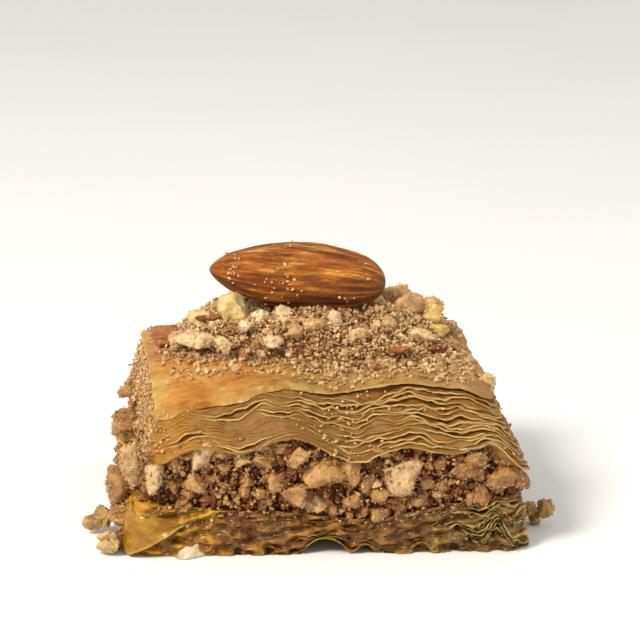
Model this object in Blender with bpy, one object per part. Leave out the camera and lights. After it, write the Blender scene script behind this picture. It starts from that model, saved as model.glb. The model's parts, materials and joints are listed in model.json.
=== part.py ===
"""A cut square of nut baklava: a lower and an upper stack of filo leaves with chopped nuts between
them, a mound of chopped nuts on top, a whole almond lying on the mound, and three nut crumbs beside
the base. Metres, +Z up. The origin is in the middle of the flat underside, and the front cut, which
shows the layers best, faces -Y."""

import math

import bmesh
import bpy
import numpy as np
from mathutils import Euler, Matrix, Vector
from mathutils.bvhtree import BVHTree

# The cut square in plan, as corners of its bottom edge: front left, front right, back right, back left
CORNERS = ((-0.0272, -0.0235), (0.0266, -0.0258), (0.0255, 0.0225), (-0.0290, 0.0235))
CORNER_RADIUS = 0.0030
SIDE_COLUMNS = 13
CORNER_COLUMNS = 3

# Heights along the front cut, as (x, z) at the crests and troughs of each wavy line
LOWER_TOP_LINE = ((-0.0270, 0.0072), (-0.0100, 0.0061), (0.0050, 0.0048), (0.0180, 0.0068), (0.0265, 0.0080))
UPPER_UNDER_LINE = (
    (-0.0270, 0.0114), (-0.0180, 0.0151), (-0.0125, 0.0143), (-0.0055, 0.0163), (0.0030, 0.0131),
    (0.0100, 0.0148), (0.0160, 0.0138), (0.0210, 0.0152), (0.0268, 0.0110),
)
UPPER_TOP_LINE = (
    (-0.0250, 0.0186), (-0.0170, 0.0200), (-0.0080, 0.0222), (0.0000, 0.0209), (0.0105, 0.0222),
    (0.0170, 0.0215), (0.0240, 0.0190),
)

# Heights away from the front cut
LOWER_TOP = 0.0064
UPPER_UNDER = 0.0143
UPPER_TOP = 0.0226
WAVE_HEIGHT = 0.0008
WAVE_LENGTH = 0.0150
EDGE_DROOP = 0.0030
DROOP_REACH = 0.0035
FRONT_START = -0.0180
FRONT_REACH = 0.0140

# How far a stack's cuts stand in from the plan at its bottom leaf, and how far they lean in from
# there to its top leaf: front, right, back, left
LOWER_LEAN = (0.0004, 0.0006, 0.0006, 0.0006)
UPPER_START = (-0.0004, 0.0000, 0.0002, 0.0026)
UPPER_LEAN = (0.0070, 0.0038, 0.0036, 0.0016)
LOWER_LEAVES = 5
UPPER_LEAVES = 8
LEAF_GROOVE = 0.0009
LEAF_WANDER = 0.0006
# How far up each leaf its rim stands out, as a share of the leaf
LEAF_RIM = 0.22
# The least height of the lowest rim over the plate, and of each further ring over the one below
FOOT_HEIGHT = 0.0006
RING_STEP = 0.0003

# The arch where the bottom leaves lift off the plate in the front cut, as (x, half width, height)
ARCHES = ((-0.0004, 0.0033, 0.0021),)
ARCH_DEPTH = 0.0070
BASE_ROUNDING = 0.0002

# The gap between two solids, and between a bit of nut and the solid beside it
GAP = 0.0003
NUT_MARGIN = 0.0005
# Shares of the way out from the middle at which a solid is looked for above or below a point
SEARCH_SHARES = (1.0, 0.97, 0.94, 0.91, 0.85, 0.78)

# The filling: its core stands back from the cuts, and chopped nuts stand out of it. The rings of the
# core are shares of its outline
FILLING_INSETS = (0.0020, 0.0018, 0.0020, 0.0035)
CORE_RINGS = (1.0, 0.84, 0.40)

# A bit of nut: how many corners it has, how far it is turned, how far each corner strays round it, and
# how far out the corners lie, as shares of its half size
NUT_CORNERS = 10
NUT_SPIN = 0.5
CORNER_STRAY = 0.5
CORNER_REACH = (0.80, 1.12)

# The nuts that show in the front cut, as (x, z, width, height)
FRONT_NUTS = (
    (-0.0266, 0.0129, 0.0021, 0.0056), (-0.0238, 0.0108, 0.0036, 0.0040), (-0.0209, 0.0128, 0.0022, 0.0020),
    (-0.0175, 0.0128, 0.0034, 0.0034), (-0.0146, 0.0138, 0.0034, 0.0018), (-0.0143, 0.0116, 0.0019, 0.0024),
    (-0.0183, 0.0098, 0.0030, 0.0034), (-0.0150, 0.0088, 0.0038, 0.0024), (-0.0118, 0.0132, 0.0030, 0.0024),
    (-0.0090, 0.0130, 0.0028, 0.0028), (-0.0112, 0.0100, 0.0024, 0.0024), (-0.0075, 0.0098, 0.0030, 0.0028),
    (-0.0052, 0.0084, 0.0030, 0.0030), (-0.0046, 0.0134, 0.0026, 0.0024), (-0.0014, 0.0110, 0.0048, 0.0040),
    (-0.0020, 0.0068, 0.0038, 0.0024), (0.0026, 0.0104, 0.0030, 0.0048), (0.0029, 0.0069, 0.0024, 0.0020),
    (0.0062, 0.0126, 0.0030, 0.0018), (0.0094, 0.0108, 0.0052, 0.0042), (0.0063, 0.0084, 0.0028, 0.0024),
    (0.0094, 0.0074, 0.0030, 0.0020), (0.0124, 0.0084, 0.0028, 0.0020), (0.0141, 0.0116, 0.0026, 0.0024),
    (0.0150, 0.0090, 0.0024, 0.0022), (0.0177, 0.0110, 0.0028, 0.0028), (0.0204, 0.0124, 0.0034, 0.0026),
    (0.0200, 0.0092, 0.0028, 0.0022), (0.0228, 0.0104, 0.0036, 0.0030), (0.0254, 0.0098, 0.0024, 0.0030),
)
# How far behind the plan's edge the middles of these nuts lie, from least to most, and how much
# larger each nut is than the part of it that shows
FRONT_NUT_DEPTHS = (0.00077, 0.00154)
NUT_SWELL = 1.15
# Two rows of nuts round the other three sides, as (height in the filling, start along the side), both
# as shares. In each row a side has so many nuts, which stray from their places by shares of a place's
# length and of the filling's height. The depths are for the right, the back and the left side
SIDE_ROWS = ((0.27, 0.435), (0.75, 0.675))
NUTS_IN_A_ROW = 11
SIDE_STRAY = (0.20, 0.06)
SIDE_NUT_DEPTHS = (0.0010, 0.0012, 0.0026)
SIDE_NUT_LENGTHS = (0.0028, 0.0046)
SIDE_NUT_FLATNESS = (0.7, 1.0)
# Between these places on the left, the nuts stand further in, with room for the rubble below them
LEFT_ROOM = (-0.0190, -0.0085)
LEFT_STEP_BACK = 0.0014
# Bits of nut that stick out further on the left, as (x, y, z, width, depth, height)
LEFT_NUTS = (
    (-0.0254, 0.0110, 0.0136, 0.0050, 0.0044, 0.0036), (-0.0262, 0.0010, 0.0110, 0.0054, 0.0044, 0.0040),
)
# Rubble stuck to the lower stack, and one nut at the right edge of the top leaf
FOOT_NUTS = (
    (-0.0278, -0.0168, 0.0036, 0.0034, 0.0034, 0.0032), (-0.0285, -0.0140, 0.0062, 0.0038, 0.0048, 0.0054),
    (-0.0283, -0.0120, 0.0026, 0.0032, 0.0034, 0.0032),
    (-0.0280, -0.0196, 0.0015, 0.0030, 0.0034, 0.0026), (0.0265, -0.0238, 0.0011, 0.0022, 0.0020, 0.0016),
    (0.0262, -0.0200, 0.0060, 0.0030, 0.0030, 0.0030), (-0.0190, -0.0230, 0.0002, 0.0038, 0.0032, 0.0034),
)
RIM_NUTS = ((0.0226, -0.0112, 0.0196, 0.0028, 0.0036, 0.0034),)

# The mound: how far its outline stands in from the top leaf's rim, front, right, back, left, and how
# far it wanders
MOUND_INSET = (0.0040, 0.0016, 0.0024, 0.0024)
MOUND_WANDER = 0.0010
# At the front left corner it draws back further. The corner begins at this x and y, and its full
# depth is reached a little further to the left
BARE_CORNER_START = (-0.0020, -0.0060)
BARE_CORNER_FADE = 0.0120
BARE_CORNER_DEPTH = 0.0062
# Its dome: the middle, the reach along x and y, the rise, how full its sides are, and its height at
# the edge
MOUND_CENTRE = (-0.0010, 0.0060)
MOUND_REACH = (0.0240, 0.0190)
MOUND_RISE = 0.0042
MOUND_FULLNESS = 0.8
MOUND_EDGE = 0.0006
# Rings of the core, and the shoulder of its top, as shares of its outline
MOUND_RINGS = (0.80, 0.58, 0.34, 0.14)
MOUND_SHOULDER = 0.97
# Small nuts on the mound: one in each field of a grid over this span of x and of y, within a share of
# the outline and off the low back left corner
MOUND_ROWS = 11
MOUND_SPAN = ((-0.0230, 0.0225), (-0.0145, 0.0200))
MOUND_LIMIT = 0.95
LOW_CORNER = (-0.0150, 0.0070)
SMALL_NUTS = (0.0020, 0.0032)
SMALL_NUT_FLATNESS = (0.75, 1.0)
SMALL_NUT_RISE = 0.15
# The least room from the middle of a nut to the almond and to other nuts, as shares of the sizes
ALMOND_ROOM = 0.60
NUT_ROOM = 0.40

# Pieces of nut on the mound that stand out from a step away, as (x, y, width, depth, height, rise of
# their middle over the core)
BIG_PIECES = (
    (-0.0158, 0.0030, 0.0038, 0.0034, 0.0032, 0.0006), (-0.0119, 0.0010, 0.0046, 0.0040, 0.0042, 0.0010),
    (-0.0171, -0.0040, 0.0054, 0.0040, 0.0026, 0.0004), (-0.0214, 0.0024, 0.0052, 0.0046, 0.0036, 0.0004),
    (0.0131, 0.0132, 0.0046, 0.0040, 0.0054, 0.0014), (0.0131, 0.0040, 0.0040, 0.0038, 0.0040, 0.0008),
    (0.0168, 0.0046, 0.0036, 0.0036, 0.0040, 0.0008), (-0.0079, -0.0010, 0.0028, 0.0026, 0.0024, 0.0008),
    (-0.0014, -0.0048, 0.0036, 0.0028, 0.0026, 0.0006), (-0.0036, -0.0064, 0.0024, 0.0022, 0.0020, 0.0004),
    (0.0020, -0.0030, 0.0028, 0.0026, 0.0024, 0.0005), (0.0050, -0.0054, 0.0028, 0.0026, 0.0022, 0.0004),
    (0.0100, -0.0022, 0.0026, 0.0026, 0.0024, 0.0006), (0.0146, -0.0042, 0.0028, 0.0026, 0.0024, 0.0005),
    (-0.0136, -0.0064, 0.0024, 0.0022, 0.0018, 0.0003), (-0.0072, -0.0078, 0.0026, 0.0022, 0.0020, 0.0003),
    (0.0107, -0.0094, 0.0042, 0.0030, 0.0016, 0.0002), (0.0165, -0.0060, 0.0030, 0.0024, 0.0016, 0.0003),
    (-0.0100, 0.0168, 0.0050, 0.0042, 0.0036, 0.0006), (0.0020, 0.0172, 0.0046, 0.0038, 0.0036, 0.0006),
    (0.0180, 0.0120, 0.0036, 0.0036, 0.0028, 0.0002),
)

# The whole almond, pointed at its left end
ALMOND_LENGTH = 0.0254
ALMOND_WIDTH = 0.0128
ALMOND_THICKNESS = 0.0087
ALMOND_PLACE = (-0.0023, 0.0060, 0.0315)
ALMOND_TILT = math.radians(5.0)
ALMOND_ROLL = math.radians(14)
ALMOND_TURN = math.radians(-3)
ALMOND_SEGMENTS = 22
ALMOND_RINGS = 15
# How blunt its two ends are: 0.5 is as round as an ellipse, and more is more pointed
ALMOND_POINT = 0.62
ALMOND_BLUNT_END = 0.48

# Crumbs of nut against the foot of the sides, as (name, x, y, height of its middle, width, depth, height)
CRUMBS = (
    ("crumb_left_front", -0.0305, -0.0221, 0.0015, 0.0038, 0.0036, 0.0033),
    ("crumb_left_back", -0.0313, -0.0130, 0.0019, 0.0040, 0.0038, 0.0040),
    ("crumb_right", 0.0297, -0.0146, 0.0018, 0.0054, 0.0042, 0.0040),
)
CRUMB_SPIN = 0.2
CRUMB_CORNERS = 22

# Finishes, as (colour, roughness)
FILO = ((0.60, 0.36, 0.12), 0.45)
WET_FILO = ((0.36, 0.20, 0.06), 0.30)
NUT = ((0.55, 0.38, 0.20), 0.60)
ALMOND_SKIN = ((0.38, 0.14, 0.04), 0.50)


def clear_scene():
    for thing in list(bpy.data.objects):
        bpy.data.objects.remove(thing)


def make_material(name, colour, roughness):
    """A plain finish of one colour."""
    material = bpy.data.materials.new(name)
    material.use_nodes = True
    shader = material.node_tree.nodes["Principled BSDF"]
    shader.inputs["Base Color"].default_value = (*colour, 1.0)
    shader.inputs["Roughness"].default_value = roughness
    shader.inputs["Metallic"].default_value = 0.0
    return material


def eased(x, line):
    """Height at x of the wavy line through the given points, level at each of them."""
    xs = np.array([point[0] for point in line])
    zs = np.array([point[1] for point in line])
    left = np.clip(np.searchsorted(xs, x) - 1, 0, len(xs) - 2)
    share = np.clip((x - xs[left]) / (xs[left + 1] - xs[left]), 0, 1)
    share = share * share * (3 - 2 * share)
    return zs[left] + (zs[left + 1] - zs[left]) * share


def waves(x, y, seed):
    """Smooth uneven waves between about -1 and 1, from five seeded sine waves."""
    rng = np.random.default_rng(seed)
    total = np.zeros(np.broadcast(x, y).shape)
    for _ in range(5):
        heading = rng.uniform(0, 2 * math.pi)
        length = WAVE_LENGTH * rng.uniform(0.7, 1.5)
        run = (np.asarray(x) * math.cos(heading) + np.asarray(y) * math.sin(heading)) / length
        total = total + np.sin(2 * math.pi * run + rng.uniform(0, 2 * math.pi))
    return total / 2.5


def inset_corners(insets):
    """The four corners of the plan once each side has moved in by its own inset."""
    corners = [Vector(corner) for corner in CORNERS]
    lines = []
    for start, end, inset in zip(corners, corners[1:] + corners[:1], insets):
        along = (end - start).normalized()
        inward = Vector((-along.y, along.x))
        lines.append((start + inward * inset, along))
    moved = []
    for (point, along), (before, back) in zip(lines, [lines[-1]] + lines[:-1]):
        reach = (before - point).cross(back) / along.cross(back)
        moved.append(point + along * reach)
    return moved


def outline(insets):
    """Points and outward normals round the plan, from the front left corner, seen from above anticlockwise."""
    corners = inset_corners(insets)
    points, normals = [], []
    for index, corner in enumerate(corners):
        into = (corner - corners[index - 1]).normalized()
        away = (corners[(index + 1) % 4] - corner).normalized()
        turn = math.atan2(into.cross(away), into.dot(away))
        cut = CORNER_RADIUS * math.tan(turn / 2)
        centre = corner - into * cut + Vector((-into.y, into.x)) * CORNER_RADIUS
        for step in range(CORNER_COLUMNS):
            normal = Vector((into.y, -into.x))
            normal.rotate(Matrix.Rotation(turn * step / (CORNER_COLUMNS - 1), 2))
            points.append(centre + normal * CORNER_RADIUS)
            normals.append(normal)
        following = corners[(index + 1) % 4]
        start = corner + away * cut
        end = following - away * cut
        for step in range(1, SIDE_COLUMNS + 1):
            points.append(start.lerp(end, step / (SIDE_COLUMNS + 1)))
            normals.append(Vector((away.y, -away.x)))
    return np.array(points), np.array(normals)


def wander(count, seed, longest=4, shortest=22):
    """Seeded uneven line round the plan, closed on itself, between about -1 and 1."""
    rng = np.random.default_rng(seed)
    share = np.arange(count) / count
    total = np.zeros(count)
    for turns in range(longest, shortest, 3):
        total += rng.uniform(0.4, 1.0) * np.sin(2 * math.pi * (turns * share + rng.uniform()))
    return total / 2.5


def edge_distance(x, y):
    """How far a point of the plan is inside the nearest cut."""
    corners = [Vector(corner) for corner in CORNERS]
    nearest = np.full(np.broadcast(x, y).shape, np.inf)
    for start, end in zip(corners, corners[1:] + corners[:1]):
        along = (end - start).normalized()
        nearest = np.minimum(nearest, -along.y * (x - start.x) + along.x * (y - start.y))
    return np.maximum(nearest, 0)


def front_share(y):
    """1 at the front cut, 0 further back than FRONT_REACH, smooth between."""
    share = np.clip(1 - (np.asarray(y) - FRONT_START) / FRONT_REACH, 0, 1)
    return share * share * (3 - 2 * share)


def blend_height(x, y, line, level, seed, height, droop):
    """Height of a layer: its wavy line at the front cut, and gentle waves behind it. The layer droops
    towards the other cuts."""
    front = front_share(y)
    inner = level + height * waves(x, y, seed) - droop * np.exp(-edge_distance(x, y) / DROOP_REACH)
    return front * eased(x, line) + (1 - front) * inner


def lower_top(x, y):
    return blend_height(x, y, LOWER_TOP_LINE, LOWER_TOP, 3, WAVE_HEIGHT * 0.7, 0)


def upper_under(x, y):
    return blend_height(x, y, UPPER_UNDER_LINE, UPPER_UNDER, 5, WAVE_HEIGHT, EDGE_DROOP * 0.6)


def upper_top(x, y):
    return blend_height(x, y, UPPER_TOP_LINE, UPPER_TOP, 8, WAVE_HEIGHT * 0.8, EDGE_DROOP)


def ring_at(plan, height):
    """A ring of 3-D points over plan points. The height is a number, an array or a function of x and y."""
    z = height(plan[:, 0], plan[:, 1]) if callable(height) else np.broadcast_to(height, len(plan))
    return np.column_stack([plan, z])


def loft(name, rings, bottom, top):
    """A closed skin through rings of points. Each end is a middle point, or None for one flat face.

    Quads are split from the inner ring's point to the outer ring's next one, so that two skins
    through the same plan points are split alike and keep their distance."""
    made = bmesh.new()
    rows = [[made.verts.new(point) for point in ring] for ring in rings]
    count = len(rows[0])
    for low, high in zip(rows, rows[1:]):
        narrows = low[0].co.xy.length > high[0].co.xy.length
        for i in range(count):
            j = (i + 1) % count
            if narrows:
                made.faces.new((low[i], low[j], high[i]))
                made.faces.new((low[j], high[j], high[i]))
            else:
                made.faces.new((low[i], low[j], high[j]))
                made.faces.new((low[i], high[j], high[i]))
    for row, middle, step in ((rows[0], bottom, -1), (rows[-1], top, 1)):
        around = row[::step]
        if middle is None:
            made.faces.new(around)
            continue
        hub = made.verts.new(middle)
        for i in range(count):
            made.faces.new((around[i], around[(i + 1) % count], hub))
    return new_object(name, made)


def new_object(name, made, matrix=None):
    """An object from a bmesh, moved by the matrix if there is one."""
    mesh = bpy.data.meshes.new(name)
    if matrix is not None:
        made.transform(matrix)
    made.to_mesh(mesh)
    made.free()
    return bpy.data.objects.new(name, mesh)


def leaf_sides(insets, lean, leaves, low, high, seed):
    """Rings up a cut stack: every leaf has a rim that stands out and a groove above it."""
    rings = []
    for leaf in range(leaves):
        for part, groove in ((LEAF_RIM, 0.0), (1.0, 1.0)):
            share = min((leaf + part) / leaves, 1.0)
            if leaf == leaves - 1 and groove:
                continue
            moved = tuple(inset + side * share for inset, side in zip(insets, lean))
            plan, normals = outline(moved)
            shift = LEAF_WANDER * wander(len(plan), seed + leaf) - groove * LEAF_GROOVE
            plan = plan + normals * shift[:, None]
            bottom, top = low(plan[:, 0], plan[:, 1]), high(plan[:, 0], plan[:, 1])
            rings.append(np.column_stack([plan, bottom + (top - bottom) * share]))
    return rings


def arch_height(plan):
    """How far the bottom edge lifts off the plate at each plan point: only along the front cut."""
    lift = np.zeros(len(plan))
    for middle, half, height in ARCHES:
        across = np.clip(1 - ((plan[:, 0] - middle) / half) ** 2, 0, 1)
        lift = np.maximum(lift, height * np.sqrt(across) * (plan[:, 1] < FRONT_START))
    return lift


def lowest_rim(x, y):
    return 0 * x + FOOT_HEIGHT


def build_lower_stack():
    """Lower filo leaves. The flat underside is one face, cut back where the front edge arches up."""
    flat, normals = outline((BASE_ROUNDING,) * 4)
    lift = arch_height(flat)
    set_back = ARCH_DEPTH * np.sqrt(lift / max(height for _, _, height in ARCHES))
    foot = flat - normals * set_back[:, None]
    edge, _ = outline((0.0, 0.0, 0.0, 0.0))
    edge = ring_at(edge, np.maximum(arch_height(edge), FOOT_HEIGHT))
    sides = leaf_sides((0, 0, 0, 0), LOWER_LEAN, LOWER_LEAVES, lowest_rim, lower_top, 20)
    sides = [np.column_stack([ring[:, :2], np.maximum(ring[:, 2], edge[:, 2] + RING_STEP * (n + 1))])
             for n, ring in enumerate(sides)]
    core, _ = outline(FILLING_INSETS)
    inner = [ring_at(core * share, lower_top) for share in CORE_RINGS]
    middle = (0, 0, float(lower_top(0.0, 0.0)))
    stack = loft("lower_filo", [ring_at(foot, 0.0), edge] + sides + inner, None, middle)
    return fuse(stack, given_nuts(FOOT_NUTS, 60))


def build_upper_stack():
    """Upper filo leaves. Underside and top share their plan points with the filling and the mound."""
    core, _ = outline(FILLING_INSETS)
    under = [ring_at(core * share, upper_under) for share in CORE_RINGS[::-1]]
    sides = leaf_sides(UPPER_START, UPPER_LEAN, UPPER_LEAVES, upper_under, upper_top, 40)
    mound = mound_outline()
    over = [ring_at(mound, upper_top)] + [ring_at(mound_ring(mound, s), upper_top) for s in MOUND_RINGS]
    bottom = (0, 0, float(upper_under(0.0, 0.0)))
    top = (*MOUND_CENTRE, float(upper_top(*MOUND_CENTRE)))
    rim = ring_at(sides[-1][:, :2], upper_top)
    stack = loft("upper_filo", under + sides[:-1] + [rim] + over, bottom, top)
    return fuse(stack, given_nuts(RIM_NUTS, 61))


def mound_outline():
    """The mound's uneven outline in plan."""
    insets = tuple(sum(parts) for parts in zip(UPPER_START, UPPER_LEAN, MOUND_INSET))
    plan, normals = outline(insets)
    plan = plan + normals * (MOUND_WANDER * wander(len(plan), 70))[:, None]
    start_x, start_y = BARE_CORNER_START
    bare = np.clip((start_x - plan[:, 0]) / BARE_CORNER_FADE, 0, 1) * (plan[:, 1] < start_y)
    plan[:, 1] += BARE_CORNER_DEPTH * bare
    return plan


def mound_ring(mound, share):
    """The mound's outline, drawn in towards its middle to a share of its size."""
    centre = np.array(MOUND_CENTRE)
    return centre + (mound - centre) * share


def mound_top(x, y):
    """Top of the mound's core: a low dome over the top leaf, thin towards its edge."""
    reach = np.hypot((x - MOUND_CENTRE[0]) / MOUND_REACH[0], (y - MOUND_CENTRE[1]) / MOUND_REACH[1])
    dome = np.clip(1 - reach ** 2, 0, 1) ** MOUND_FULLNESS
    return upper_top(x, y) + GAP + MOUND_EDGE + MOUND_RISE * dome


def chopped_nut(rng, size, place, spin=NUT_SPIN, corners=NUT_CORNERS):
    """Corner points of one angular bit of nut of the given size, turned at random by up to spin."""
    turn = Euler(rng.uniform(-spin, spin, 3)).to_matrix()
    golden_angle = math.pi * (3 - math.sqrt(5))
    points = []
    for n in range(corners):
        z = 1 - 2 * (n + 0.5) / corners
        angle = n * golden_angle + rng.uniform(-CORNER_STRAY, CORNER_STRAY)
        radius = math.sqrt(1 - z * z)
        corner = Vector((radius * math.cos(angle), radius * math.sin(angle), z)) * rng.uniform(*CORNER_REACH)
        points.append(turn @ Vector(a * b / 2 for a, b in zip(corner, size)) + Vector(place))
    return points


def hull_of(points):
    """The tightest closed skin round the points, which makes the flat breaks of a bit of nut."""
    made = bmesh.new()
    for point in points:
        made.verts.new(point)
    done = bmesh.ops.convex_hull(made, input=made.verts)
    inside = [v for v in done["geom_interior"] if isinstance(v, bmesh.types.BMVert)]
    bmesh.ops.delete(made, geom=inside, context="VERTS")
    made.normal_update()
    bmesh.ops.recalc_face_normals(made, faces=made.faces)
    return made


def tree_of(thing):
    """A search tree over an object's faces."""
    made = bmesh.new()
    made.from_mesh(thing.data)
    tree = BVHTree.FromBMesh(made)
    made.free()
    return tree


def clamp_between(points, below, above=None):
    """Move the corners of a nut so that it stays clear of the solid below it and the one above it."""
    for point in points:
        floor = surface_height(below, point, 1)
        point.z = max(point.z, floor + NUT_MARGIN)
        if above:
            point.z = min(point.z, surface_height(above, point, -1) - NUT_MARGIN)
    return points


def surface_height(tree, point, side):
    """Height of a solid seen from above (1) or below (-1), at a point or just inwards of it."""
    for share in SEARCH_SHARES:
        hit = tree.ray_cast(Vector((point.x * share, point.y * share, side)), Vector((0, 0, -side)))[0]
        if hit:
            return hit.z
    return -1.0


def fuse(core, pieces):
    """One solid of the core and the pieces on it: joined, sealed hollows filled and scraps dropped."""
    scene = bpy.context.scene.collection
    group = bpy.data.collections.new(core.name + "_pieces")
    scene.children.link(group)
    scene.objects.link(core)
    for piece in pieces:
        group.objects.link(piece)
    union = core.modifiers.new("union", "BOOLEAN")
    union.operation = "UNION"
    union.operand_type = "COLLECTION"
    union.collection = group
    union.solver = "MANIFOLD"
    graph = bpy.context.evaluated_depsgraph_get()
    joined = bpy.data.meshes.new_from_object(core.evaluated_get(graph))
    for piece in pieces:
        bpy.data.objects.remove(piece)
    bpy.data.collections.remove(group)
    scene.objects.unlink(core)
    core.modifiers.clear()
    core.data = joined
    keep_largest_shell(joined)
    return core


def keep_largest_shell(mesh):
    """Drop every shell of the mesh but the largest, and leave it in triangles."""
    made = bmesh.new()
    made.from_mesh(mesh)
    bmesh.ops.triangulate(made, faces=made.faces)
    left, shells = set(made.verts), []
    while left:
        stack, shell = [left.pop()], []
        while stack:
            vertex = stack.pop()
            shell.append(vertex)
            for edge in vertex.link_edges:
                other = edge.other_vert(vertex)
                if other in left:
                    left.remove(other)
                    stack.append(other)
        shells.append(shell)
    shells.sort(key=len)
    spare = [vertex for shell in shells[:-1] for vertex in shell]
    bmesh.ops.delete(made, geom=spare, context="VERTS")
    made.to_mesh(mesh)
    made.free()


def given_nuts(places, seed):
    """Nuts at given places, as (x, y, z, width, depth, height)."""
    rng = np.random.default_rng(seed)
    nuts = []
    for place in places:
        points = chopped_nut(rng, place[3:], place[:3])
        for point in points:
            point.z = max(point.z, GAP)
        nuts.append(new_object("nut", hull_of(points)))
    return nuts


def build_filling(lower_stack, upper_stack):
    """Chopped nuts between the stacks: a core that stands back, and two rows of nuts round its sides."""
    plan, _ = outline(FILLING_INSETS)

    def low(x, y):
        return lower_top(x, y) + GAP

    def high(x, y):
        return upper_under(x, y) - GAP

    lower = [ring_at(plan * share, low) for share in CORE_RINGS[::-1]]
    upper = [ring_at(plan * share, high) for share in CORE_RINGS]
    core = loft("nut_filling", lower + upper, (0, 0, float(low(0.0, 0.0))), (0, 0, float(high(0.0, 0.0))))

    below, above = tree_of(lower_stack), tree_of(upper_stack)
    rng = np.random.default_rng(11)
    places = []
    for x, z, width, height in FRONT_NUTS:
        y = front_line(x) + rng.uniform(*FRONT_NUT_DEPTHS)
        places.append((x, y, z, width * NUT_SWELL, (width + height) / 2 * NUT_SWELL, height * NUT_SWELL))
    places += LEFT_NUTS
    corners = inset_corners(SIDE_NUT_DEPTHS[:1] + SIDE_NUT_DEPTHS)
    along_stray, up_stray = SIDE_STRAY
    for start, end in zip(corners[1:], corners[2:] + corners[:1]):
        for slot in range(NUTS_IN_A_ROW):
            for height_share, first in SIDE_ROWS:
                x, y = start.lerp(end, (slot + first + rng.uniform(-along_stray, along_stray)) / NUTS_IN_A_ROW)
                floor, ceiling = float(low(x, y)), float(high(x, y))
                z = floor + (ceiling - floor) * (height_share + rng.uniform(-up_stray, up_stray))
                if x < 0 and LEFT_ROOM[0] < y < LEFT_ROOM[1]:
                    x += LEFT_STEP_BACK
                length = rng.uniform(*SIDE_NUT_LENGTHS)
                width, depth, height = length * rng.uniform(*SIDE_NUT_FLATNESS, 3)
                places.append((x, y, z, width, depth, height))
    pieces = []
    for place in places:
        points = clamp_between(chopped_nut(rng, place[3:], place[:3]), below, above)
        pieces.append(new_object("nut", hull_of(points)))
    return fuse(core, pieces)


def front_line(x):
    """The plan's front edge at x."""
    (x0, y0), (x1, y1) = CORNERS[:2]
    return y0 + (y1 - y0) * (x - x0) / (x1 - x0)


def almond_radius(u):
    """Half width of the almond at u, from -1 at its point to 1 at its round end, as a share of the widest."""
    def swell(share):
        return share ** ALMOND_POINT * (1 - share) ** ALMOND_BLUNT_END

    widest = ALMOND_POINT / (ALMOND_POINT + ALMOND_BLUNT_END)
    return swell((1 + u) / 2) / swell(widest)


def almond_matrix():
    """Where the almond lies, and how it is turned."""
    turn = Euler((ALMOND_ROLL, ALMOND_TILT, ALMOND_TURN)).to_matrix().to_4x4()
    return Matrix.Translation(ALMOND_PLACE) @ turn


def build_almond():
    """The whole almond, from a ball with its rings drawn to an almond's outline."""
    made = bmesh.new()
    bmesh.ops.create_uvsphere(made, u_segments=ALMOND_SEGMENTS, v_segments=ALMOND_RINGS, radius=1)
    for vertex in made.verts:
        u = max(-1.0, min(1.0, vertex.co.z))
        across = math.hypot(vertex.co.x, vertex.co.y) or 1.0
        radius = almond_radius(u)
        vertex.co = Vector((
            u * ALMOND_LENGTH / 2,
            radius * ALMOND_WIDTH / 2 * vertex.co.x / across,
            radius * ALMOND_THICKNESS / 2 * vertex.co.y / across,
        ))
    bmesh.ops.triangulate(made, faces=made.faces)
    return new_object("almond", made, almond_matrix())


def build_mound(upper_stack, almond):
    """The mound of chopped nuts: a low core with a bed for the almond, and nuts that stand out of it."""
    below, almond_tree = tree_of(upper_stack), tree_of(almond)

    def bedded(x, y):
        """Top of the core, pressed down to stay clear of the almond."""
        z = np.array(mound_top(x, y), dtype=float)
        for index in range(len(z)):
            hit = almond_tree.ray_cast(Vector((x[index], y[index], 0)), Vector((0, 0, 1)))[0]
            nearest = almond_tree.find_nearest(Vector((x[index], y[index], z[index])))
            if hit is not None:
                z[index] = min(z[index], hit.z - 2 * GAP)
            elif nearest[3] < 2 * GAP:
                z[index] -= 2 * GAP
        return z

    def floor(x, y):
        return upper_top(x, y) + GAP

    plan = mound_outline()
    under = [ring_at(mound_ring(plan, s), floor) for s in MOUND_RINGS[::-1]] + [ring_at(plan, floor)]
    over = [ring_at(mound_ring(plan, s), bedded) for s in (MOUND_SHOULDER,) + MOUND_RINGS]
    bottom = (*MOUND_CENTRE, float(floor(*MOUND_CENTRE)))
    top = (*MOUND_CENTRE, float(bedded(np.array([MOUND_CENTRE[0]]), np.array([MOUND_CENTRE[1]]))[0]))
    core = loft("nut_mound", under + over, bottom, top)

    rng = np.random.default_rng(23)
    places = list(BIG_PIECES)
    (left, right), (front, back) = MOUND_SPAN
    for row in range(MOUND_ROWS):
        for column in range(MOUND_ROWS):
            x = left + (right - left) * (column + rng.uniform(0.1, 0.9)) / MOUND_ROWS
            y = front + (back - front) * (row + rng.uniform(0.1, 0.9)) / MOUND_ROWS
            length = rng.uniform(*SMALL_NUTS)
            places.append((x, y, *(length * rng.uniform(*SMALL_NUT_FLATNESS, 3)), SMALL_NUT_RISE * length))
    rim = mound_ring(plan, MOUND_LIMIT)
    pieces, kept = [], []
    for x, y, width, depth, height, rise in places:
        size = max(width, depth, height)
        if not inside(rim, x, y) or (x < LOW_CORNER[0] and y > LOW_CORNER[1]):
            continue
        place = Vector((x, y, float(mound_top(np.array(x), np.array(y))) + rise))
        to_almond = almond_tree.find_nearest(place)[3]
        if to_almond < ALMOND_ROOM * size + 2 * GAP or under_almond(almond_tree, place):
            continue
        if any((place - other).length < NUT_ROOM * (size + beside) for other, beside in kept):
            continue
        kept.append((place, size))
        points = clamp_between(chopped_nut(rng, (width, depth, height), place), below)
        pieces.append(new_object("nut", hull_of(points)))
    return fuse(core, pieces)


def under_almond(tree, place):
    """True if the almond is over this place."""
    return tree.ray_cast(Vector((place.x, place.y, 0)), Vector((0, 0, 1)))[0] is not None


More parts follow.
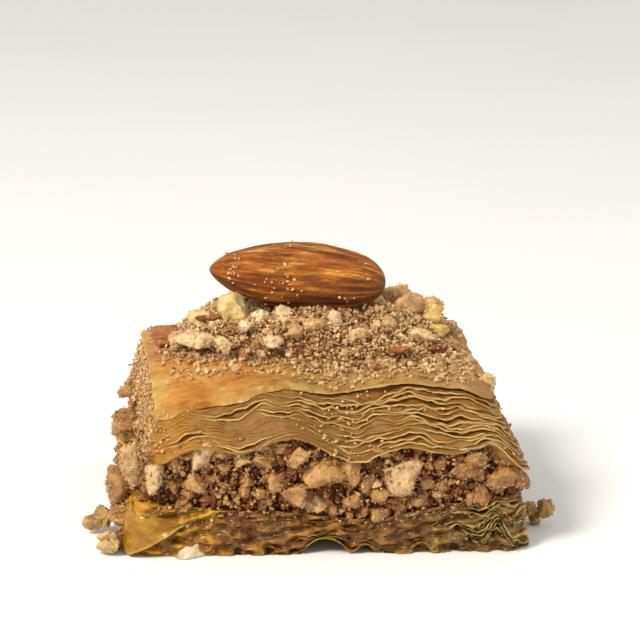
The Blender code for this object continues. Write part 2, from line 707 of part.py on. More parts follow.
def inside(plan, x, y):
    """True if a point is inside a closed line, by counting the crossings to its right."""
    after = np.roll(plan, -1, axis=0)
    crosses = (plan[:, 1] > y) != (after[:, 1] > y)
    spans = np.where(crosses, after[:, 1] - plan[:, 1], 1)
    at = plan[:, 0] + (y - plan[:, 1]) / spans * (after[:, 0] - plan[:, 0])
    return bool(np.count_nonzero(crosses & (x < at)) % 2)


def build_crumbs():
    """The three crumbs, each flat where it rests."""
    rng = np.random.default_rng(31)
    crumbs = []
    for name, x, y, z, *size in CRUMBS:
        points = chopped_nut(rng, size, (x, y, z), spin=CRUMB_SPIN, corners=CRUMB_CORNERS)
        for point in points:
            point.z = max(point.z, 0.0)
        crumbs.append(new_object(name, hull_of(points)))
    return crumbs


def main():
    clear_scene()
    collection = bpy.data.collections.new("baklava_piece")
    bpy.context.scene.collection.children.link(collection)
    filo = make_material("filo", *FILO)
    wet_filo = make_material("wet_filo", *WET_FILO)
    nut = make_material("nut", *NUT)
    skin = make_material("almond_skin", *ALMOND_SKIN)

    almond = build_almond()
    lower, upper = build_lower_stack(), build_upper_stack()
    made = [(lower, wet_filo), (build_filling(lower, upper), nut), (upper, filo)]
    made += [(build_mound(upper, almond), nut), (almond, skin)]
    made += [(crumb, nut) for crumb in build_crumbs()]
    for thing, material in made:
        thing.data.materials.clear()
        thing.data.materials.append(material)
        collection.objects.link(thing)


main()
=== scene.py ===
import json
import math
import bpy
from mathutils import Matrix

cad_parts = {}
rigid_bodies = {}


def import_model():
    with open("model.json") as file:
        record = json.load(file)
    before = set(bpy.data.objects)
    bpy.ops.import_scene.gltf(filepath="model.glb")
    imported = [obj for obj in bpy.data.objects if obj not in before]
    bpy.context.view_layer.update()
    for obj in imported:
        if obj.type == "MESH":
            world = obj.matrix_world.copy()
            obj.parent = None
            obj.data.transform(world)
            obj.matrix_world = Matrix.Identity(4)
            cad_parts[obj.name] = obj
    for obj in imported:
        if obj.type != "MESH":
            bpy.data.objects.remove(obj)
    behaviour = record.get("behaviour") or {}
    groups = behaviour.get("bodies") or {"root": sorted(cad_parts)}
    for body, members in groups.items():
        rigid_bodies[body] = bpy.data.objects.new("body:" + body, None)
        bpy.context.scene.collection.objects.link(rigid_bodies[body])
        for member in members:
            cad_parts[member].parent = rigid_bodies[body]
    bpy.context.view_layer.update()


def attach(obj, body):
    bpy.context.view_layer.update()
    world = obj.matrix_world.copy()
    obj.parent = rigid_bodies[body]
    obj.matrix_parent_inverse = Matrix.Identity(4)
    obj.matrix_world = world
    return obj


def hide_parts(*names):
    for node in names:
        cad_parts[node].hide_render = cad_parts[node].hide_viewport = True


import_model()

from types import SimpleNamespace

import bmesh
import bpy
import numpy as np
from mathutils import Euler, Matrix, Vector, noise

# The table top is a wide, plain, pale floor under a soft white surround, lit by a large soft window
# light from the upper left and a weaker one from the right. The camera looks down a little on the
# front cut, from slightly left of the middle.
floor_mesh = bpy.data.meshes.new("floor")
floor_mesh.from_pydata([(-2, -2, 0), (2, -2, 0), (2, 2, 0), (-2, 2, 0)], [], [(0, 1, 2, 3)])
floor = bpy.data.objects.new("floor", floor_mesh)
bpy.context.scene.collection.objects.link(floor)
floor.location.z = -0.00005


def opaque(colour):
    """A colour or a plain grey, with no see-through."""
    return (*colour, 1) if isinstance(colour, tuple) else (colour, colour, colour, 1)


def add_node(tree, kind, inputs=(), **settings):
    """A node with its settings made, and each input linked to a socket or set to a plain value. A
    plain number for a colour is a grey."""
    node = tree.nodes.new(kind)
    for label, value in settings.items():
        setattr(node, label, value)
    for key, value in dict(inputs).items():
        socket = node.inputs[key]
        if isinstance(value, bpy.types.NodeSocket):
            tree.links.new(value, socket)
        elif socket.type == "RGBA":
            socket.default_value = opaque(value)
        else:
            socket.default_value = value
    return node


def new_material(name, sockets=()):
    """A Principled material with these values set on its shader. Gives it, its node tree, its shader
    and the place of each point of the piece."""
    material = bpy.data.materials.new(name)
    material.use_nodes = True
    tree = material.node_tree
    shader = tree.nodes["Principled BSDF"]
    for label, value in dict(sockets).items():
        shader.inputs[label].default_value = value
    return material, tree, shader, add_node(tree, "ShaderNodeTexCoord").outputs["Object"]


def noise_node(tree, coordinates, scale, detail=3.0, roughness=0.6, squash=None):
    """A noise texture on the given coordinates, squashed along some axes where a size is given."""
    if squash:
        mapping = add_node(tree, "ShaderNodeMapping", {"Vector": coordinates, "Scale": squash})
        coordinates = mapping.outputs["Vector"]
    return add_node(tree, "ShaderNodeTexNoise", {
        "Vector": coordinates, "Scale": scale, "Detail": detail, "Roughness": roughness}).outputs["Fac"]


def ramp_node(tree, factor, stops):
    """A colour ramp over a factor. Each stop is (position, colour or grey)."""
    ramp = add_node(tree, "ShaderNodeValToRGB", {"Fac": factor})
    elements = ramp.color_ramp.elements
    while len(elements) < len(stops):
        elements.new(0.5)
    for element, (position, colour) in zip(elements, stops):
        element.position = position
        element.color = opaque(colour)
    return ramp.outputs["Color"]


def finish_shader(tree, shader, colour, roughness=None, bump=None):
    """Give the shader its colour, its roughness and its bump, which is (height, strength, distance)."""
    tree.links.new(colour, shader.inputs["Base Color"])
    if roughness:
        tree.links.new(roughness, shader.inputs["Roughness"])
    if bump:
        bumped = add_node(tree, "ShaderNodeBump", zip(("Height", "Strength", "Distance"), bump))
        tree.links.new(bumped.outputs["Normal"], shader.inputs["Normal"])


floor_material, tree, shader, place = new_material("pale_table", {"Roughness": 0.6})
cloudy = noise_node(tree, place, 6, 2)
finish_shader(tree, shader, ramp_node(tree, cloudy, ((0.3, (0.82, 0.87, 0.97)), (0.7, (0.86, 0.91, 0.99)))))
floor_mesh.materials.append(floor_material)

world = bpy.data.worlds.new("soft_surround")
bpy.context.scene.world = world
world.use_nodes = True
surround = world.node_tree.nodes["Background"].inputs
surround["Color"].default_value = (1.0, 0.925, 0.80, 1)
surround["Strength"].default_value = 0.74


def window_light(name, place, aim, size, watts, colour):
    light = bpy.data.lights.new(name, "AREA")
    light.shape = "DISK"
    light.size = size
    light.energy = watts
    light.color = colour
    lamp = bpy.data.objects.new(name, light)
    lamp.location = place
    lamp.rotation_euler = (Vector(place) - Vector(aim)).to_track_quat("Z", "Y").to_euler()
    bpy.context.scene.collection.objects.link(lamp)


window_light("window", (-0.40, -0.34, 0.50), (0, 0, 0.02), 0.24, 5.6, (1.0, 0.90, 0.75))
window_light("room_bounce", (0.50, -0.30, 0.28), (0, 0, 0.02), 0.50, 0.5, (1.0, 0.90, 0.78))

CAMERA_AZIMUTH = math.radians(-5)
CAMERA_ELEVATION = math.radians(14)
CAMERA_DISTANCE = 0.350
CAMERA_TARGET = Vector((0.0004, 0, 0.0264))
lens = bpy.data.cameras.new("camera")
lens.lens = 138.8
lens.sensor_width = 36
lens.clip_start = 0.01
camera = bpy.data.objects.new("camera", lens)
towards = Vector((math.sin(CAMERA_AZIMUTH) * math.cos(CAMERA_ELEVATION),
                  -math.cos(CAMERA_AZIMUTH) * math.cos(CAMERA_ELEVATION), math.sin(CAMERA_ELEVATION)))
camera.location = CAMERA_TARGET + towards * CAMERA_DISTANCE
camera.rotation_euler = towards.to_track_quat("Z", "Y").to_euler()
bpy.context.scene.collection.objects.link(camera)
bpy.context.scene.camera = camera
bpy.context.scene.view_settings.view_transform = "Standard"

# The lower stack is about nine thin filo leaves, soaked in syrup, so they are crumpled, glassy and
# stuck to each other. Each leaf is cut flush at the four sides and lies on the one below. At the
# right end the leaves stand up in small pleats, and the front edge lifts off the plate at one place.
CORNERS = ((-0.0272, -0.0235), (0.0266, -0.0258), (0.0255, 0.0225), (-0.0290, 0.0235))
CORNER_RADIUS = 0.0030
# The front cut is all of the plan's outline that lies nearer than this
FRONT_CUT = -0.019
# The wavy top of the stack in the front cut, as points (x, z)
LOWER_TOP_LINE = ((-0.0270, 0.0072), (-0.0100, 0.0061), (0.0050, 0.0048), (0.0180, 0.0068), (0.0265, 0.0080))


def eased(x, line):
    """Height at x of the wavy line through the given points, level at each of them."""
    xs = np.array([point[0] for point in line])
    zs = np.array([point[1] for point in line])
    left = np.clip(np.searchsorted(xs, x) - 1, 0, len(xs) - 2)
    share = np.clip((x - xs[left]) / (xs[left + 1] - xs[left]), 0, 1)
    share = share * share * (3 - 2 * share)
    return zs[left] + (zs[left + 1] - zs[left]) * share


def waves(x, y, seed):
    """Smooth uneven waves between about -1 and 1, from five seeded sine waves."""
    rng = np.random.default_rng(seed)
    total = np.zeros(np.broadcast(x, y).shape)
    for _ in range(5):
        heading = rng.uniform(0, 2 * math.pi)
        length = 0.0150 * rng.uniform(0.7, 1.5)
        run = (np.asarray(x) * math.cos(heading) + np.asarray(y) * math.sin(heading)) / length
        total = total + np.sin(2 * math.pi * run + rng.uniform(0, 2 * math.pi))
    return total / 2.5


def edge_distance(x, y):
    """How far a point of the plan is inside the nearest cut."""
    corners = [Vector(corner) for corner in CORNERS]
    nearest = np.full(np.broadcast(x, y).shape, np.inf)
    for start, end in zip(corners, corners[1:] + corners[:1]):
        along = (end - start).normalized()
        nearest = np.minimum(nearest, -along.y * (x - start.x) + along.x * (y - start.y))
    return np.maximum(nearest, 0)


def blend_height(x, y, line, level, seed, height, droop):
    """Height of a layer: its wavy line at the front cut, and gentle waves behind it."""
    front = np.clip(1 - (np.asarray(y) + 0.0180) / 0.0140, 0, 1)
    front = front * front * (3 - 2 * front)
    inner = level + height * waves(x, y, seed) - droop * np.exp(-edge_distance(x, y) / 0.0035)
    return front * eased(x, line) + (1 - front) * inner


def lower_top(x, y):
    return blend_height(x, y, LOWER_TOP_LINE, 0.0064, 3, 0.00056, 0)


def plan_line(insets, sides=(200, 90, 90, 90), corner=14):
    """Points and outward normals round the cut square, each side moved in by its own inset."""
    corners = [Vector(point) for point in CORNERS]
    lines = []
    for start, end, inset in zip(corners, corners[1:] + corners[:1], insets):
        along = (end - start).normalized()
        lines.append((start + Vector((-along.y, along.x)) * inset, along))
    moved = []
    for (point, along), (before, back) in zip(lines, [lines[-1]] + lines[:-1]):
        moved.append(point + along * ((before - point).cross(back) / along.cross(back)))
    headings = [(end - start).normalized() for start, end in zip(moved, moved[1:] + moved[:1])]
    turns = [math.atan2(headings[index - 1].cross(away), headings[index - 1].dot(away))
             for index, away in enumerate(headings)]
    cuts = [CORNER_RADIUS * math.tan(turn / 2) for turn in turns]
    points, normals = [], []
    for index, (point, away, turn, cut) in enumerate(zip(moved, headings, turns, cuts)):
        into, ahead = headings[index - 1], (index + 1) % 4
        centre = point - into * cut + Vector((-into.y, into.x)) * CORNER_RADIUS
        for step in range(corner):
            normal = Vector((into.y, -into.x))
            normal.rotate(Matrix.Rotation(turn * step / (corner - 1), 2))
            points.append(centre + normal * CORNER_RADIUS)
            normals.append(normal)
        start, end = point + away * cut, moved[ahead] - away * cuts[ahead]
        for step in range(1, sides[index] + 1):
            points.append(start.lerp(end, step / (sides[index] + 1)))
            normals.append(Vector((away.y, -away.x)))
    return np.array(points), np.array(normals)


def around(points):
    """How far along the closed line each point is, in metres, and the whole length."""
    steps = np.linalg.norm(np.roll(points, -1, axis=0) - points, axis=1)
    return np.concatenate([[0], np.cumsum(steps)[:-1]]), steps.sum()


def ripple(share, seed, slowest, fastest, count=7):
    """Seeded uneven wave round the plan, closed on itself, between about -1 and 1."""
    rng = np.random.default_rng(seed)
    total = np.zeros(len(share))
    for turns in np.unique(np.geomspace(slowest, fastest, count).astype(int)):
        total += rng.uniform(0.5, 1.0) * np.sin(2 * math.pi * (turns * share + rng.uniform()))
    return total / (0.75 * math.sqrt(count))


def closed_strip(rows, columns):
    """Quads between closed loops of points: each of the rows runs right round, and so do the columns."""
    row, column = np.meshgrid(np.arange(rows), np.arange(columns), indexing="ij")
    ahead, aside = (column + 1) % columns, (row + 1) % rows
    quads = np.stack([row * columns + column, aside * columns + column,
                      aside * columns + ahead, row * columns + ahead], axis=-1)
    return quads.reshape(-1, 4)


def solid_mesh(name, points, faces, values=()):
    """An object from plain arrays, smooth, facing outwards, with a named value for each point."""
    mesh = bpy.data.meshes.new(name)
    mesh.from_pydata(points.tolist(), [], faces.tolist() if hasattr(faces, "tolist") else faces)
    for label, value in dict(values).items():
        mesh.attributes.new(label, "FLOAT", "POINT").data.foreach_set("value", value.astype(np.float32))
    made = bmesh.new()
    made.from_mesh(mesh)
    if made.calc_volume(signed=True) < 0:
        bmesh.ops.reverse_faces(made, faces=made.faces)
        made.to_mesh(mesh)
    made.free()
    mesh.shade_smooth()
    piece = bpy.data.objects.new(name, mesh)
    bpy.context.scene.collection.objects.link(piece)
    return piece


def bubble(arc, z, length, bubbles):
    """Push leaves out of the way of round hollows: the lines of the leaves arch over and round each."""
    along, up = np.zeros_like(z), np.zeros_like(z)
    for middle, height, radius in bubbles:
        away = (arc - middle + length / 2) % length - length / 2
        rise = z - height
        reach = np.hypot(away, rise) + 1e-6
        push = (np.sqrt(reach ** 2 + radius ** 2) - reach) / reach * np.exp(-(reach / (3.5 * radius)) ** 2)
        along += away * push
        up += rise * push
    return along, up


def crinkle(arc, z, seed, finest=0.0022, coarsest=0.0060):
    """Seeded crumpling of a cut face, between about -1 and 1: soft lumps, and sharp small creases that
    run mostly along the leaves."""
    rng = np.random.default_rng(seed)
    lumps, creases = np.zeros(np.broadcast(arc, z).shape), np.zeros(np.broadcast(arc, z).shape)
    for _ in range(7):
        length, heading = rng.uniform(finest, coarsest), rng.uniform(0, math.pi)
        run = (arc * math.cos(heading) + z * 1.6 * math.sin(heading)) / length
        lumps = lumps + np.sin(2 * math.pi * run + rng.uniform(0, 6))
    for _ in range(6):
        length, heading = 0.5 * rng.uniform(finest, coarsest), rng.uniform(0, math.pi)
        run = (arc * 0.70 * math.cos(heading) + z * 1.1 * math.sin(heading)) / length
        creases = creases + np.sin(2 * math.pi * run + rng.uniform(0, 6) + 0.8 * lumps)
    return lumps / 3.6 + 0.55 * (0.5 - np.abs(creases / 2.2))


# How far in from its rim each row of a leaf lies, as a share of the way to the middle, and how much
# of the leaf's thickness it has there
LEAF_ROWS = ((0.0, 0.40), (0.0016, 0.90), (0.005, 1.0), (0.040, 1.0))


def stack_layout(count, start, lean, low, high, seed, wave, openness, crumple, parted=(), hollows=()):
    """How the leaves of one stack lie: where each is at every point round the plan, how far its rim
    stands out of the mass behind, and where the mass is hollow."""
    foot, normals = plan_line(start)
    head, _ = plan_line([inset + more for inset, more in zip(start, lean)])
    arc, length = around(foot)
    share = arc / length
    front = 1 / (1 + np.exp((foot[:, 1] - FRONT_CUT + 0.0005) / 0.0004))
    fanned = openness(*foot.T)
    spacing = np.array([np.exp(wave * ripple(share, seed * 97 + leaf, 6, 34)) for leaf in range(count)])
    coming_and_going = 0.30 + 0.55 * np.clip(fanned * 2, 0, 1)
    uneven = np.array([ripple(share, seed * 41 + leaf, 6, 40) for leaf in range(count)])
    standing = np.clip(0.90 * fanned + coming_and_going * uneven - 0.26, 0, 1)
    for leaf, x, half, more in parted:
        bell = np.exp(-((foot[:, 0] - x) / half) ** 2) * front
        spacing[leaf] += more * bell
        for edge in (leaf, leaf + 1):
            if edge < count:
                standing[edge] = np.maximum(standing[edge], np.clip(1.5 * bell, 0, 0.9))
    heights = np.vstack([np.zeros(len(foot)), np.cumsum(spacing, axis=0)]) / spacing.sum(axis=0)
    return SimpleNamespace(
        count=count, seed=seed, crumple=crumple, low=low, high=high, foot=foot, head=head, normals=normals,
        tangents=np.column_stack([-normals[:, 1], normals[:, 0]]), arc=arc, length=length, share=share,
        front=front, fanned=fanned, standing=standing, heights=heights, parted=parted, hollows=hollows)


def leaves_of(name, stack, thin, reach):
    """The leaves themselves: thin closed rings whose rims stand out of the mass where they are free."""
    points, depths, opens, levels, faces = [], [], [], [], []
    bubbles = [hollow[:3] for hollow in stack.hollows]
    for leaf, (standing, up) in enumerate(zip(stack.standing, stack.heights)):
        frayed = 0.00005 * ripple(stack.share, stack.seed * 53 + leaf, 60, 300) * np.clip(standing * 4, 0, 1)
        out = reach * standing ** 0.8 - 0.00012 + frayed
        rim = stack.foot + (stack.head - stack.foot) * up[:, None] + stack.normals * out[:, None]
        curl = (0.00020 * ripple(stack.share, stack.seed * 71 + leaf, 14, 90) - 0.00010) * standing
        rows = []
        for side, leaf_rows in ((1, LEAF_ROWS), (-1, LEAF_ROWS[::-1])):
            for inward, fullness in leaf_rows:
                place = rim * (1 - inward)
                floor_z, top_z = stack.low(*place.T), stack.high(*place.T)
                z = floor_z + (top_z - floor_z) * up + thin / 2 * (1 + side * fullness)
                z = z + curl * math.exp(-inward / 0.012)
                sideways = stack.crumple * crinkle(stack.arc, z, stack.seed + 901)
                upwards = stack.crumple * crinkle(stack.arc, z, stack.seed + 902)
                z = z + 0.9 * upwards * np.clip(z / 0.001, 0, 1)
                shift, lift = bubble(stack.arc, z, stack.length, bubbles)
                place = place + stack.normals * sideways[:, None] + stack.tangents * shift[:, None]
                rows.append(np.column_stack([place, np.maximum(z + lift, 0.00004)]))
                # Depth grows inward from the rim, and open grows where the rim stands free: the filo material
                # paints a highlight on free rims and shade further in.
                depths.append(np.full(len(rim), min(1.0, inward / 0.010)))
                opens.append(np.clip(standing * 1.6, 0, 1))
                levels.append(np.full(len(rim), leaf + (0.5 if side > 0 else 0.1)))
        faces.append(closed_strip(len(rows), len(rim)) + len(points) * len(rim))
        points.extend(rows)
    opens = np.concatenate(opens)
    values = {"depth": np.concatenate(depths), "open": opens, "level": np.concatenate(levels), "fan": opens,
              "lump": np.zeros(len(opens))}
    return solid_mesh(name, np.vstack(points), np.vstack(faces), values)


def mass_of(name, stack, retreat, foot_level, row_count=46):
    """The leaves stuck together behind the rims, as one body with a lumpy sloping face. It lies
    further back where the leaves are fanned or parted, and in the hollows."""
    rings, depths, levels, lumps = [], [], [], []
    for up in np.linspace(0, 1, row_count):
        plan = stack.foot + (stack.head - stack.foot) * up
        floor_z, top_z = foot_level(*plan.T), stack.high(*plan.T)
        z = floor_z + (top_z - floor_z) * (0.004 + 0.992 * up)
        back = 0.00004 + retreat * stack.fanned
        for leaf, x, half, _ in stack.parted:
            below, above = stack.heights[leaf], stack.heights[leaf + 1]
            between = np.clip((up - below) / 0.015, 0, 1) * np.clip((above - up) / 0.015, 0, 1)
            back = back + 0.0005 * np.exp(-((plan[:, 0] - x) / half) ** 4) * between * stack.front
        for middle, height, radius, deep in stack.hollows:
            away = (stack.arc - middle + stack.length / 2) % stack.length - stack.length / 2
            back = back + deep * np.exp(-(np.hypot(away, z - height) / radius) ** 6)
        lump = crinkle(stack.arc, z, stack.seed + 901)
        rings.append(np.column_stack([plan + stack.normals * (stack.crumple * lump - back)[:, None], z]))
        lumps.append(lump)
        # How far back the mass lies, where the filo material paints shade.
        depths.append(np.clip(back / 0.0009, 0, 0.9))
        passed = (up - stack.heights[:-1]) / np.diff(stack.heights, axis=0)
        levels.append(np.clip(passed, 0, 1).sum(axis=0))
    inside = plan * 0.86
    rings.append(np.column_stack([inside, stack.high(*inside.T) - 0.0010]))
    fan = np.clip(0.12 + 1.5 * stack.fanned, 0, 1)
    values = {"depth": depths + depths[-1:] + [[0, 0]], "open": [np.zeros(len(fan) * len(rings) + 2)],
              "level": levels + levels[-1:] + [[0, stack.count]], "lump": lumps + lumps[-1:] + [[0, 0]],
              "fan": [fan] * len(rings) + [[0, 0]]}
    return core_solid(name, rings, {label: np.concatenate(parts) for label, parts in values.items()})


def mix_node(tree, factor, first, second, blend="MIX"):
    """A colour mix. Each of the two colours, and the factor, may be a socket or a plain value."""
    return add_node(tree, "ShaderNodeMix", {"Factor": factor, 6: first, 7: second}, data_type="RGBA",
                    blend_type=blend).outputs[2]


def shaded(tree, colour, factor, stops, share=1.0):
    """A colour made darker and lighter by a ramp over a factor."""
    return mix_node(tree, share, colour, ramp_node(tree, factor, stops), "MULTIPLY")


def attribute_node(tree, name):
    return add_node(tree, "ShaderNodeAttribute", attribute_name=name).outputs["Fac"]


def math_node(tree, operation, *values):
    """The result of one operation on sockets and plain numbers."""
    return add_node(tree, "ShaderNodeMath", enumerate(values), operation=operation).outputs["Value"]


def sideways_node(tree, place, start, end):
    """0 at one x and 1 at another, so a colour can change from the right end to the left."""
    across = add_node(tree, "ShaderNodeSeparateXYZ", {"Vector": place}).outputs
    leftward = add_node(tree, "ShaderNodeMapRange", {
        "Value": across["X"], "From Min": start, "From Max": end})
    return leftward.outputs["Result"], across


def filo_material(name, left, middle, right, rim, shade, turns, wet):
    """Filo: golden at the left front and dull to the right and back, turning between the given shares,
    partly its own browning and partly painted light from the left and painted shade to the right and
    back. Pale at a free rim as a painted highlight, amber in the gaps between leaves as painted shade,
    with fine lines that follow the leaves and painted shade where each leaf meets the next."""
    material, tree, shader, place = new_material(name, {
        "Subsurface Weight": 0.80 if wet else 0.65, "Subsurface Radius": (1.0, 0.55, 0.20),
        "Subsurface Scale": 0.0026 if wet else 0.0018, "Specular IOR Level": 0.18 if wet else 0.28,
        "Coat Weight": 0.25 if wet else 0.04, "Coat Roughness": 0.12 if wet else 0.3})
    # Painted light and shade: golden at the left front turning dull to the right and back, partly the filo's
    # own browning and partly light from the left.
    leftward, across = sideways_node(tree, place, 0.0156, -0.0444)
    forward = math_node(tree, "MULTIPLY_ADD", across["Y"], -6.0, leftward)
    blend = math_node(tree, "MULTIPLY_ADD", noise_node(tree, place, 130, 3, 0.6), 0.45, forward)
    colour = ramp_node(tree, blend, tuple(zip(turns, (right, middle, middle, left))))
    if wet:
        blots = noise_node(tree, place, 330, 4, 0.6, (1, 1, 1.6))
        colour = shaded(tree, colour, blots,
                        ((0.34, (0.70, 0.58, 0.46)), (0.48, 1.0), (0.66, (1.50, 1.65, 1.9))))
    mottle = noise_node(tree, place, 800, 4, 0.7, (1, 1, 2.0))
    colour = shaded(tree, colour, mottle, ((0.30, 0.78), (0.65, 1.12)))
    level = attribute_node(tree, "level")
    along_leaf = add_node(tree, "ShaderNodeCombineXYZ", {
        "X": math_node(tree, "MULTIPLY", across["X"], 60),
        "Y": math_node(tree, "MULTIPLY", across["Y"], 60), "Z": level})
    strata = noise_node(tree, along_leaf.outputs["Vector"], 4.6, 3, 0.6)
    fan = attribute_node(tree, "fan")
    if wet:
        # Painted light and shade: the soaked mass is lighter and bluer where its crumpled face bulges out and
        # darker where it dips in; the soaked leaves, with no lump, take the darker end.
        colour = shaded(tree, colour, attribute_node(tree, "lump"),
                        ((0.0, (0.70, 0.60, 0.50)), (0.25, 1.0), (0.55, (1.20, 1.26, 1.38))))
    else:
        colour = shaded(tree, colour, strata, ((0.32, 0.80), (0.60, 1.12)), fan)
    # Painted shade: a fine dark line where each leaf meets the next, stronger where the leaves fan out; it
    # also steps the bump.
    join_shade_and_step = ramp_node(tree, math_node(tree, "FRACT", level),
                     ((0.0, 1.06), (0.45, 1.0), (0.92, 0.72), (1.0, 1.0)))
    colour = mix_node(tree, fan, colour, join_shade_and_step, "MULTIPLY")
    depth = attribute_node(tree, "depth")
    # Painted shade: the further a point lies back from the rims or in a gap, the more it takes the amber
    # shade colour.
    colour = mix_node(tree, ramp_node(tree, depth, ((0.10, 0), (0.80, 0.9))), colour, shade)
    # Painted highlight: where a leaf's rim stands free, its edge turns pale toward the rim colour.
    edge = ramp_node(tree, depth, ((0.0, 0.9), (0.17, 0.65), (0.48, 0)))
    pale = mix_node(tree, 1.0, edge, attribute_node(tree, "open"), "MULTIPLY")
    roughness = ramp_node(tree, mottle, ((0.3, 0.22 if wet else 0.40), (0.7, 0.44 if wet else 0.62)))
    grain_noise = noise_node(tree, place, 1300, 4, 0.7, (1, 1, 2))
    relief = math_node(tree, "MULTIPLY_ADD", strata, 0.3 if wet else 0.9, grain_noise)
    stepped = math_node(tree, "MULTIPLY_ADD", mix_node(tree, fan, 1.0, join_shade_and_step), 0.6 if wet else 1.5, relief)
    finish_shader(tree, shader, mix_node(tree, pale, colour, rim), roughness,
                  (stepped, 0.8, 0.00034 if wet else 0.00012))
    return material


def core_solid(name, rings, values=(), ends=()):
    """A closed body through rings of points from bottom to top. A fan closes each end, round the given
    point or the middle of the ring."""
    count = len(rings[0])
    points = np.vstack([*rings, *(ends or (rings[0].mean(axis=0), rings[-1].mean(axis=0)))])
    under, over, last = len(rings) * count, len(rings) * count + 1, (len(rings) - 1) * count
    faces = []
    for base in range(0, last, count):
        for i in range(count):
            j = (i + 1) % count
            faces.append((base + i, base + j, base + count + j, base + count + i))
    for i in range(count):
        j = (i + 1) % count
        faces.append((j, i, under))
        faces.append((last + i, last + j, over))
    return solid_mesh(name, points, faces, values)


front_line, _ = plan_line((0, 0, 0, 0))
front_arc, _ = around(front_line)


def arc_at(x):
    """How far round the plan the front edge's point at x is."""
    on_front = front_line[:, 1] < FRONT_CUT
    return front_arc[np.argmin(np.where(on_front, np.abs(front_line[:, 0] - x), 1))]


# Hollows between the soaked leaves along the front, as (x, height of the middle, radius, depth)
HOLLOWS = (
    (0.0221, 0.0004, 0.0011, 0.0007), (0.0166, 0.0004, 0.0007, 0.0009),
    (0.0120, 0.0002, 0.0011, 0.0010), (0.0075, 0.0004, 0.0009, 0.0010),
    (-0.0008, -0.0006, 0.0028, 0.0070), (0.0040, -0.0003, 0.0014, 0.0040),
    (-0.0055, 0.0003, 0.0006, 0.0008), (-0.0085, 0.0002, 0.0007, 0.0009),
    (-0.0108, 0.0022, 0.0006, 0.0005), (-0.0135, 0.0032, 0.0005, 0.0004),
    (0.0170, 0.0036, 0.0005, 0.0004), (-0.0128, 0.0004, 0.0006, 0.0007),
)
hollow_rng = np.random.default_rng(12)
side_hollows = [(hollow_rng.uniform(0.055, 0.198), hollow_rng.uniform(0.0002, 0.0035),
                 hollow_rng.uniform(0.0005, 0.0012), 0.0007) for _ in range(26)]


def soaked_opening(x, y):
    """How far the soaked leaves stand apart: hardly, except where the right end is pleated."""
    return 0.04 + 0.80 * np.clip((x - 0.0145) / 0.004, 0, 1) + 0.10 * (y > FRONT_CUT)


def table_level(x, y):
    """The mass of the lower stack stands flat on the plate."""
    return 0 * x


def pleated(x, y):
    """How high the lowest leaf's rim lies: on the plate, but arched up in one tall and one small pleat
    near the right end of the front."""
    at_front = 1 / (1 + np.exp((y + 0.0215) / 0.0005))
    tall = 0.0034 * np.exp(-np.abs((x - 0.0222) / 0.0015) ** 1.6)
    small = 0.0015 * np.exp(-np.abs((x - 0.0168) / 0.0010) ** 1.6)
    return (tall + small) * at_front


soaked_filo = filo_material(
    "soaked_filo", (0.350, 0.165, 0.010), (0.195, 0.084, 0.013), (0.180, 0.098, 0.019), (0.42, 0.265, 0.080),
    (0.120, 0.048, 0.010), (0.40, 0.58, 0.84, 0.98), wet=True)
front_hollows = [(arc_at(x), z, radius, deep) for x, z, radius, deep in HOLLOWS]
soaked_stack = stack_layout(
    count=9, start=(0, 0, 0, 0), lean=(0.0004, 0.0006, 0.0006, 0.0006), low=pleated, high=lower_top,
    seed=4, wave=0.45, openness=soaked_opening, crumple=0.00050, hollows=front_hollows + side_hollows)
lower_leaves = leaves_of("lower_leaves", soaked_stack, thin=0.00022, reach=0.00040)
lower_mass = mass_of("lower_mass", soaked_stack, retreat=0.0002, foot_level=table_level, row_count=64)
for piece in (lower_leaves, lower_mass):
    piece.data.materials.append(soaked_filo)
    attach(piece, "root")
    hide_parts("lower_filo")

# At the left front corner one soaked leaf is folded over the cut: a smooth, shiny golden flap whose
# free rim runs down to the plate.


def stretch_of(start_arc, end_arc, insets, count=60):
    """Part of the plan's outline between two distances along it, as even points with their normals."""
    line, normals = plan_line(insets)
    arc, length = around(line)
    wanted = np.linspace(start_arc, end_arc, count) % length
    places = [np.interp(wanted, arc, line[:, axis], period=length) for axis in (0, 1)]
    outward = [np.interp(wanted, arc, normals[:, axis], period=length) for axis in (0, 1)]
    return np.column_stack(places), np.column_stack(outward)


